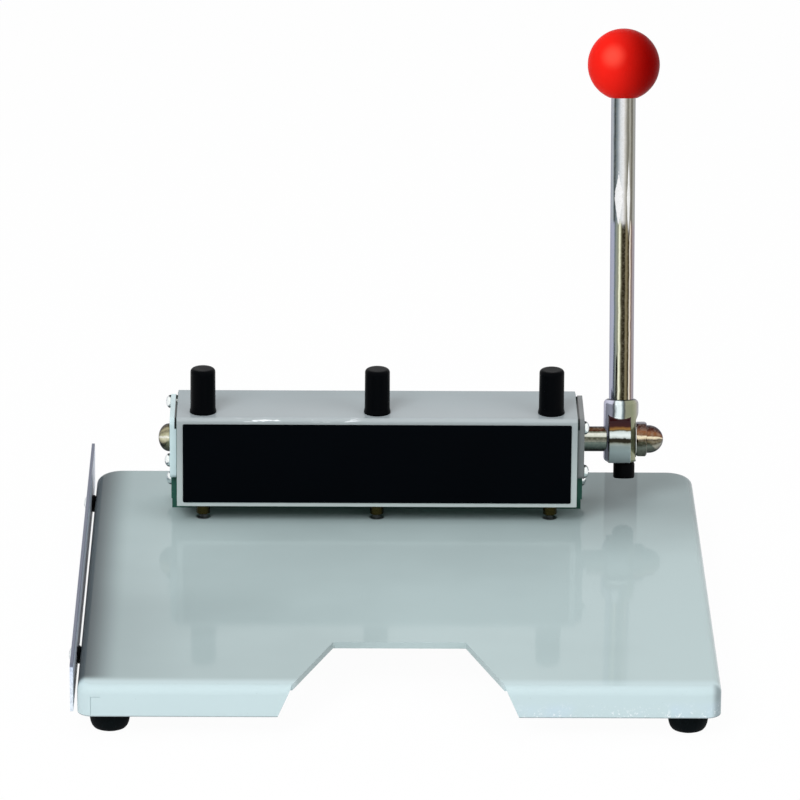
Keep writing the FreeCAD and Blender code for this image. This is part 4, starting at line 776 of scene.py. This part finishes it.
def make_base(finish):
    """Folded tray: bent edges, rolled corners, a notch for the hand and a lapped corner seam."""
    box = Box("base_tray")
    foot, top, front = box.low, box.top, box.front
    outer = [(BASE_LIP, foot), (0.13 * BASE_LIP, foot + 0.3 * BASE_LIP), (0, foot + BASE_LIP)]
    outer += arc(BASE_BEND, top - BASE_BEND, BASE_BEND, 180, 90, 8)
    inner = [(BASE_SHEET, foot - 1.0)]
    inner += arc(BASE_BEND, top - BASE_BEND, BASE_BEND - BASE_SHEET, 180, 90, 4)
    base = loft("base_upper", [base_row(box, inset, height) for inset, height in outer])
    hollow = loft("base_hollow", [base_row(box, inset, height) for inset, height in inner])
    base = carve(base, [hollow])

    back_x, centre = box.x + NOTCH_BACK_SHIFT, box.x + NOTCH_SHIFT
    deep, bend, outside = front + NOTCH_DEPTH, front + BASE_BEND, front - 2
    plan = [(back_x - NOTCH_BACK / 2, deep), (back_x + NOTCH_BACK / 2, deep),
            (centre + NOTCH_FRONT / 2, bend), (centre + NOTCH_FRONT / 2, outside),
            (centre - NOTCH_FRONT / 2, outside), (centre - NOTCH_FRONT / 2, bend)]
    notch = prism("notch", rounded(plan, [0.8, 0.8, 0, 0, 0, 0], 4), foot - 2, top + 2, "Z")
    reach = NOTCH_FOOT / 2 + 0.4
    flare = [(centre - reach, foot - 0.5), (centre + reach, foot - 0.5),
             (centre + NOTCH_FRONT / 2, top + 0.5), (centre - NOTCH_FRONT / 2, top + 0.5)]
    skirt = prism("skirt_notch", flare, outside, bend + 0.2, "Y")
    holes = []
    for side in SIDES:
        die = Box(f"die_{side}")
        holes.append(bore("die_hole", DIE_HOLE_RADIUS, top - 6, top + 2,
                          frame_at((die.x, die.y, 0)), 48))
    base = soften(carve(base, [notch, skirt]), 0.35, 2, 50)

    # The groove of the lapped corner: up from the hem, then to the right.
    x, wide, deep, hem, level = box.left + 6.2, 0.25, 0.35, foot + 0.9, top - 4.95
    groove = [(x, hem), (x + wide, hem), (x + wide, level - wide), (x + 4.3, level - wide),
              (x + 4.3, level), (x, level)]
    seam = prism("seam", groove, front - 1, front + deep, "Y")
    base = carve(base, [seam, *holes])
    stand_for(level_shade(base, 40), "root", "base_tray", finish=finish)


def make_feet():
    """Barrel-shaped rubber feet with a counterbore."""
    box = Box("rubber_feet")
    reach = FOOT_TOP / 2
    profile = [(2.2, box.top), (reach - 0.3, box.top), (reach, box.top - 0.3), (reach, 13.0),
               (reach - 0.1, 9.0), (reach - 0.3, 5.5), (reach - 0.75, 3.0), (reach - 1.3, 1.5),
               (reach - 2.1, 0.45), (reach - 3.1, 0.0), (5.6, 0.0), (5.0, 0.5), (5.0, 6.0),
               (2.2, 6.0)]
    feet = [turned("foot", profile, frame_at((x, y, 0)), 48)
            for x in (box.left + reach, box.right - reach)
            for y in (box.front + reach, box.back - reach)]
    stand_for(flatten_shade(join("feet", feet), 50), "root", "rubber_feet")


# ---- head


def make_cover(finish):
    """Bent channel of painted sheet with three round holes."""
    box = Box("head_cover")
    front, back, low, top = box.front, box.back, box.low, box.top
    thin, bend = COVER_SHEET, COVER_BEND
    outer = rounded([(front, low), (front, top), (back, top), (back, low)], [0, bend, bend, 0])
    inner = rounded([(back - thin, low), (back - thin, top - thin), (front + thin, top - thin),
                     (front + thin, low)], [0, bend - thin, bend - thin, 0])
    cover = prism("head_shell", outer + inner, box.left, box.right, "X")
    holes = []
    for side in SIDES:
        cap = Box(f"punch_cap_{side}")
        holes.append(bore("hole", CAP_HOLE_RADIUS, top - 3, top + 1, frame_at((cap.x, cap.y, 0))))
    cover = soften(carve(cover, holes), 0.3, 2, 45)
    stand_for(level_shade(cover, 40), "root", "head_cover", finish=finish)


def make_label(finish):
    """Bare plate with rounded corners and a fine edge."""
    box = Box("label_plate")
    outline = rounded(rectangle(box.left, box.low, box.right, box.top), [0.8] * 4, 5)
    plate = prism("front_plate", outline, box.front, box.back, "Y")
    stand_for(level_shade(soften(plate, 0.12, 2), 50), "root", "label_plate", finish=finish)


def make_end_plates(finish):
    """Thick end plates with rounded edges, a leg behind and a hole for the shaft."""
    shaft = Box("lever_shaft")
    for side in ("left", "right"):
        box = Box(f"side_plate_{side}")
        front, back, low, top = box.front, box.back, box.low, box.top
        step, base = front + PLATE_LEG, top - PLATE_HEIGHT
        outline = rounded([(front, base), (step - 4, base), (step, base - 6), (step, low),
                           (back, low), (back, top), (front, top)],
                          [2.5, 2.5, 2.5, 0.5, 0.5, 3.4, 3.4])
        plate = prism(f"end_plate_{side}", outline, box.left, box.right, "X")
        hole = bore("bore", SHAFT_HOLE_RADIUS, -1, box.right - box.left + 1,
                    frame_at((box.left, shaft.y, shaft.z), "X"))
        inner, out = (box.right, -1) if side == "left" else (box.left, 1)
        wedge = [(inner - 0.3 * out, back - 0.8), (inner + 0.8 * out, back - 0.8),
                 (inner - 0.3 * out, front + 5)]
        relief = prism("relief", wedge, top - 5, top + 1, "Z")
        plate = level_shade(soften(carve(plate, [hole, relief]), 0.8, 4), 50)
        stand_for(plate, "root", f"side_plate_{side}", finish=finish)


def pan_head(seat, axis, radius, height, slot_turn):
    """Domed screw head with a cross recess, on its seat."""
    to = frame_at(seat, axis)
    profile = [(0, -4.0), (1.9, -4.0), (1.9, 0.0), (radius - 0.15, 0.0), (radius, 0.25)]
    profile += dome(radius, 0.25, height, 10)[1:] + [(0, height)]
    head = turned("pan_head", profile, to, 40)
    cross = []
    long, wide = 0.55 * radius, 0.32
    for turn in (slot_turn, slot_turn + math.pi / 2):
        c, s = math.cos(turn), math.sin(turn)
        arm = [(u * c - v * s, u * s + v * c) for u, v in rectangle(-long, -wide, long, wide)]
        cross.append(loft("arm", [[to(u * k, v * k, w) for u, v in arm]
                                  for w, k in ((height * 0.35, 0.45), (height + 0.5, 1.15))]))
    return carve(head, cross)


def make_plate_screws(finish):
    """Six pan head screws in the end plates."""
    heads = []
    for side, axis in (("left", "-X"), ("right", "X")):
        box = Box(f"side_plate_{side}")
        x = box.left if side == "left" else box.right
        for i, (y, z) in enumerate(PLATE_SCREWS[side]):
            seat = (x, box.front - PLATE_INSET + y, box.top - PLATE_TOP + z)
            heads.append(pan_head(seat, axis, 3.3, 2.55, 0.5 + 0.7 * i))
    heads = flatten_shade(join("plate_screws", heads), 45)
    stand_for(heads, "root", "side_plate_screws", finish=finish)


def make_caps():
    """Moulded caps with a slightly flared foot."""
    for side in SIDES:
        box = Box(f"punch_cap_{side}")
        top, body, flare = box.top, CAP / 2, (box.right - box.left) / 2
        foot = top - CAP_HEIGHT
        profile = [(body - 0.9, box.low), (body, box.low), (body, foot),
                   (flare - 0.25, foot + 0.05), (flare, foot + 0.35), (flare - 0.06, foot + 0.8),
                   (body + 0.2, foot + 1.4), (body + 0.05, foot + 2.0), (body, foot + 3.0),
                   (body - 0.05, top - 1.7), *arc(body - 1.75, top - 1.7, 1.7, 0, 80, 6),
                   (body - 2.6, top - 0.06), (0, top), (0, top - 0.9), (body - 0.9, top - 0.9)]
        cap = turned(f"cap_{side}", profile, frame_at((box.x, box.y, 0)), 56)
        stand_for(flatten_shade(cap, 50), "root", f"punch_cap_{side}")


def make_dies(finish):
    """Turned necks flush with the base, their bores open."""
    for side in SIDES:
        box = Box(f"die_{side}")
        low, top = box.low, box.top
        profile = [(2.58, top - 0.15), (2.75, top), (3.55, top), (3.68, top - 0.15),
                   (3.68, top - 3.2), (6.0, top - 3.2), (6.0, top - 5.2), (5.0, top - 5.2),
                   (5.0, low), (3.25, low), (3.25, top - 4.0), (2.58, top - 4.0)]
        ring = turned(f"die_ring_{side}", profile, frame_at((box.x, box.y, 0)), 48)
        stand_for(flatten_shade(ring, 40), "root", f"die_{side}", finish=finish)


# ---- shaft and lever


def make_shaft(finish):
    """Shaft with broken edges, a journal and a drilled end."""
    box = Box("lever_shaft")
    length, shoulder = box.right - box.left, LEVER_X - HUB_FACE - box.left
    profile = [(0, 0), (5.7, 0), (6.15, 0.5), (6.15, shoulder - 0.3), (5.9, shoulder),
               (5.0, shoulder), (5.0, length - 0.8), (4.2, length), (0, length)]
    bar = turned("shaft_bar", profile, frame_at((box.left, box.y, box.z), "X"), 96)
    stand_for(flatten_shade(bar, 35), "lever", "lever_shaft", finish=finish)


def make_end_cap(finish):
    """Domed cap on the shaft's left end."""
    box = Box("shaft_end_cap")
    length, radius = box.right - box.left, (box.top - box.low) / 2
    profile = [(6.2, 0), (radius - 0.25, 0), (radius, 0.3), *dome(radius, 0.8, length, 14),
               (0, length), (0, 2.0), (6.2, 2.0)]
    cap = turned("end_dome", profile, frame_at((box.right, box.y, box.z), "-X"), 72)
    stand_for(flatten_shade(cap, 40), "lever", "shaft_end_cap", finish=finish)


def bar_distance(radial, along, low, high, radius, edge):
    """Signed distance to a round bar between two heights, with rounded edges."""
    half = (high + low) / 2
    a, b = radial - radius + edge, abs(along - (high - low) / 2) - half + edge
    return min(max(a, b), 0.0) + math.hypot(max(a, 0.0), max(b, 0.0)) - edge


def hub_distance(point):
    """Signed distance to the hub: round column crossed by a boss, blended where they meet."""
    x, y, z = point
    column = bar_distance(math.hypot(x, y), z, HUB_BELOW, HUB_ABOVE, HUB_RADIUS, HUB_ROUND)
    boss = bar_distance(math.hypot(y, z), x, BOSS_LEFT, BOSS_RIGHT, BOSS_RADIUS, BOSS_ROUND)
    boss = max(boss, -HUB_BELOW - z)
    mix = max(HUB_BLEND - abs(column - boss), 0.0) / HUB_BLEND
    whole = min(column, boss) - mix * mix * HUB_BLEND / 4
    face = min(x - HUB_FACE, HUB_FACE_RADIUS - math.hypot(y, z))
    return max(whole, face, -HUB_BELOW - z)


def make_hub(finish):
    """Cast and plated hub, its surface found along rays from its middle."""
    rings, steps, tries = 150, 260, 26
    nudges = [Vector(axis) * 0.05 for axis in ((1, 0, 0), (0, 1, 0), (0, 0, 1))]
    rows, points, normals, faces = [], [], [], []
    for i in range(rings + 1):
        tilt = math.pi * i / rings
        row = []
        for j in range(steps if 0 < i < rings else 1):
            turn = 2 * math.pi * j / steps
            ray = Vector((math.sin(tilt) * math.cos(turn), math.sin(tilt) * math.sin(turn),
                          math.cos(tilt)))
            near, far = 2.0, 30.0
            for _ in range(tries):
                halfway = (near + far) / 2
                if hub_distance(ray * halfway) < 0:
                    near = halfway
                else:
                    far = halfway
            spot = ray * near
            slope = Vector([hub_distance(spot + nudge) - hub_distance(spot - nudge)
                            for nudge in nudges])
            row.append(len(points))
            points.append(ON_LEVER(*spot))
            normals.append(Vector(ON_LEVER(*slope)) - Vector(ON_LEVER(0, 0, 0)))
        rows.append(row)
    for low, high in zip(rows, rows[1:]):
        for j in range(steps):
            k = (j + 1) % steps
            face = (low[j % len(low)], low[k % len(low)], high[k % len(high)], high[j % len(high)])
            faces.append(list(dict.fromkeys(face)))
    hub = add("hub_block", points, faces)
    hub.data.normals_split_custom_set_from_vertices([n.normalized() for n in normals])
    stand_for(hub, "lever", "lever_hub", finish=finish)


def make_rod(finish):
    """Plated bar from the hub to the knob."""
    radius, broken, low, high, rows = ROD_RADIUS, 0.4, ROD_START, KNOB_HEIGHT - 13.5, 12
    start, end = low + 0.5, high - broken
    profile = [(0, low), (radius - broken, low), (radius, start)]
    profile += [(radius, start + (end - start) * i / rows) for i in range(1, rows)]
    profile += [(radius, end), (radius - broken, high), (4.0, high), (4.0, high + 12),
                (0, high + 12)]
    rod = turned("rod_bar", profile, ON_LEVER, 96)
    stand_for(flatten_shade(rod, 35), "lever", "lever_rod", finish=finish)


def make_knob(finish):
    """Ball knob with a rounded mouth round the rod."""
    radius = KNOB_RADIUS
    mouth = math.asin(6.9 / radius)
    edge = -radius * math.cos(mouth)
    profile = [(6.15, edge + 1.6), (6.25, edge + 0.5),
               *arc(0, 0, radius, math.degrees(mouth) - 90, 90, 60)[:-1],
               (0, radius), (0, -2.0), (6.15, -2.0)]
    knob = turned("knob_ball", profile, lambda x, y, z: ON_LEVER(x, y, z + KNOB_HEIGHT), 96)
    stand_for(flatten_shade(knob, 60), "lever", "ball_knob", finish=finish)


def make_hub_screw():
    """Socket head screw under the hub."""
    head = -HUB_BELOW
    bottom = head - SCREW_HEAD
    profile = [(0, bottom), (4.8, bottom), (5.15, bottom + 0.35), (5.25, bottom + 0.8),
               (5.25, head - 1.0), (5.0, head - 0.4), (4.6, head), (3.0, head),
               (3.0, head + 5.4), (0, head + 5.4)]
    screw = turned("clamp_screw", profile, lambda x, y, z: ON_LEVER(x + SCREW_OFF, y, z), 60)
    socket = loft("socket", [[ON_LEVER(x + SCREW_OFF, y, z) for x, y in hexagon(2.9)]
                             for z in (bottom - 1, bottom + 3.2)])
    stand_for(flatten_shade(carve(screw, [socket]), 35), "lever", "hub_screw")


def make_nut(finish):
    """Acorn nut: chamfered hexagon with a domed end."""
    box = Box("acorn_nut")
    to = frame_at((box.left, box.y, box.z), "X")
    length, flats = box.right - box.left, NUT_FLATS / 2
    across = flats / math.cos(math.pi / 6)
    block = loft("hexagon", [[to(x, y, w) for x, y in hexagon(across, NUT_TURN)]
                             for w in (0, NUT_HEIGHT)])
    cone = [(0, -0.1), (flats - 0.2, -0.1), (across + 0.1, 0.9), (across + 0.1, NUT_HEIGHT - 1.0),
            (flats - 0.4, NUT_HEIGHT + 0.1), (0, NUT_HEIGHT + 0.1)]
    block = carve(block, [turned("cone", cone, to, 90)], "INTERSECT")
    block = soften(block, 0.12, 2, 25)
    profile = [(0, NUT_HEIGHT - 1), (NUT_DOME, NUT_HEIGHT - 1), (NUT_DOME, NUT_HEIGHT + 0.5),
               *dome(NUT_DOME, NUT_HEIGHT + 1.0, length, 18), (0, length)]
    crown = turned("crown", profile, to, 80)
    nut = flatten_shade(join("cap_nut", [block, crown]), 32)
    stand_for(nut, "lever", "acorn_nut", finish=finish)


def disc(name, bore_radius, radius, thick, broken, where, steps):
    """Flat ring with broken outer edges."""
    profile = [(bore_radius, 0), (radius - broken, 0), (radius, broken),
               (radius, thick - broken), (radius - broken, thick), (bore_radius, thick)]
    return turned(name, profile, where, steps)


def make_washer():
    """Thin ring between hub and nut, on the nut's axis."""
    box, nut = Box("hub_washer"), Box("acorn_nut")
    washer = disc("thin_washer", 5.15, (box.top - box.low) / 2, box.right - box.left, 0.1,
                  frame_at((box.left, nut.y, nut.z), "X"), 72)
    stand_for(flatten_shade(washer, 30), "lever", "hub_washer")


# ---- edge guide


def make_guide(finish, screw_finish):
    """Strip with broken edges, two spacers and two pan head screws."""
    box = Box("guide_strip")
    outline = rounded(rectangle(box.front, box.low, box.back, box.top), [0.4, 0.4, 1.0, 1.0], 4)
    strip = prism("edge_strip", outline, box.left, box.right, "X")
    stand_for(level_shade(soften(strip, 0.15, 2), 50), "root", "guide_strip", finish=finish)
    rings = Box("guide_spacers")
    radius = (rings.top - rings.low) / 2
    z = (rings.top + rings.low) / 2
    spacers, screws = [], []
    for i, y in enumerate((rings.front + radius, rings.back - radius)):
        spacers.append(disc("spacer", 2.1, radius, rings.right - rings.left, 0.4,
                            frame_at((rings.left, y, z), "X"), 40))
        screws.append(pan_head((box.left, y, z), "-X", 3.8, 2.35, 0.4 + i))
    stand_for(flatten_shade(join("strip_spacers", spacers), 40), "root", "guide_spacers")
    screws = flatten_shade(join("strip_screws", screws), 45)
    stand_for(screws, "root", "guide_screws", finish=screw_finish)


SCREW_CHROME = screw_chrome()
make_base(base_paint())
make_feet()
make_cover(head_paint())
make_label(plastic("black_plate_matt", srgb(3, 5, 8), 0.4, 0.000004, shine=0.02))
make_end_plates(plate_paint())
make_plate_screws(SCREW_CHROME)
make_caps()
make_dies(metal("ground_die_face", srgb(176, 184, 184), 0.4, "Y"))
make_shaft(reflection_banded("shaft_plating", SHAFT_REFLECTIONS, 0.10, 0.3))
make_end_cap(reflection_banded("end_cap_plating", END_CAP_REFLECTIONS, 0.16, 1.6))
make_hub(hub_chrome())
make_rod(rod_chrome())
make_knob(ball_red())
make_hub_screw()
make_nut(reflection_banded("nut_plating", NUT_REFLECTIONS, 0.14, 0.9))
make_washer()
make_guide(strip_metal(), SCREW_CHROME)


# ---- studio

AMBIENT = 0.40  # strength of the world on the object
AIM = (0.0, 0.0, 0.05)


def light(name, place, target, size, power, colour):
    """Soft area lamp that looks at a point."""
    data = bpy.data.lights.new(name, "AREA")
    data.size = size
    data.energy = power
    data.color = colour
    lamp = bpy.data.objects.new(name, data)
    lamp.location = place
    lamp.rotation_euler = (Vector(target) - Vector(place)).to_track_quat("-Z", "Y").to_euler()
    bpy.context.scene.collection.objects.link(lamp)
    lamp.visible_glossy = False


def make_floor():
    """Pale floor that stays white to the camera but keeps the object's shadow."""
    reach = 12.0
    mesh = bpy.data.meshes.new("floor")
    mesh.from_pydata([(x, y, 0) for x, y in rectangle(-reach, -reach, reach, reach)], [],
                     [(0, 1, 2, 3)])
    floor = bpy.data.objects.new("floor", mesh)
    bpy.context.scene.collection.objects.link(floor)
    f = Finish("floor_white", Base_Color=(0.93, 0.93, 0.93), Roughness=0.9,
               Specular_IOR_Level=0.0)
    glow = f.node("ShaderNodeEmission", [("Strength", 1.0)]).outputs[0]
    path = f.node("ShaderNodeLightPath").outputs
    seen = f.math("MAXIMUM", path["Is Camera Ray"], f.times(path["Is Glossy Ray"], 0.7))
    both = f.node("ShaderNodeMixShader", [(0, f.times(seen, 0.97)), (1, f.shader.outputs[0]),
                                          (2, glow)])
    f.put(f.tree.nodes["Material Output"].inputs["Surface"], both.outputs[0])
    mesh.materials.append(f.material)


def make_world():
    """White surroundings to the camera, a little dimmer low down to metal."""
    world = bpy.data.worlds.new("studio")
    bpy.context.scene.world = world
    world.use_nodes = True
    w = Nodes(world.node_tree)
    _, _, height = w.axes(w.node("ShaderNodeTexCoord").outputs["Generated"])
    room = w.mix(w.ramp(height, -0.2, 0.35), (0.80, 0.81, 0.84), (1, 1, 1))
    path = w.node("ShaderNodeLightPath").outputs
    camera, glossy = path["Is Camera Ray"], path["Is Glossy Ray"]
    tone = w.mix(camera, w.mix(glossy, (0.96, 0.98, 1.0), room), (1, 1, 1))
    bright = w.times(w.math("MAXIMUM", camera, glossy), 1 - AMBIENT)
    background = w.tree.nodes["Background"]
    w.put(background.inputs["Color"], tone)
    w.put(background.inputs["Strength"], w.plus(bright, AMBIENT))


def make_camera():
    """Long lens at the photograph's place, slightly rolled."""
    focal_px, place = 6751.2, (-0.03024, -3.03535, 1.18409)
    pitch, yaw, roll = 0.33991, 0.0112, 0.00742
    data = bpy.data.cameras.new("camera")
    data.sensor_width = 36.0
    data.lens = focal_px * data.sensor_width / 800
    data.clip_end = 50.0
    camera = bpy.data.objects.new("camera", data)
    bpy.context.scene.collection.objects.link(camera)
    forward = Vector((math.sin(yaw) * math.cos(pitch), math.cos(yaw) * math.cos(pitch),
                      -math.sin(pitch)))
    level = Vector((math.cos(yaw), -math.sin(yaw), 0.0))
    up = level.cross(forward)
    right = math.cos(roll) * level + math.sin(roll) * up
    top = -math.sin(roll) * level + math.cos(roll) * up
    turn = Matrix((right, top, -forward)).transposed()
    camera.matrix_world = Matrix.Translation(place) @ turn.to_4x4()
    bpy.context.scene.camera = camera


make_camera()
make_world()
make_floor()
light("key", (-0.9, -1.6, 1.7), AIM, 1.2, 34.0, (0.95, 0.98, 1.0))
light("fill", (1.6, -1.0, 1.2), AIM, 1.4, 10.0, (1.0, 1.0, 1.0))
light("top", (0.0, 0.5, 2.2), (0.0, 0.05, 0.05), 1.6, 10.0, (1.0, 1.0, 1.0))
bpy.context.scene.view_settings.view_transform = "Standard"
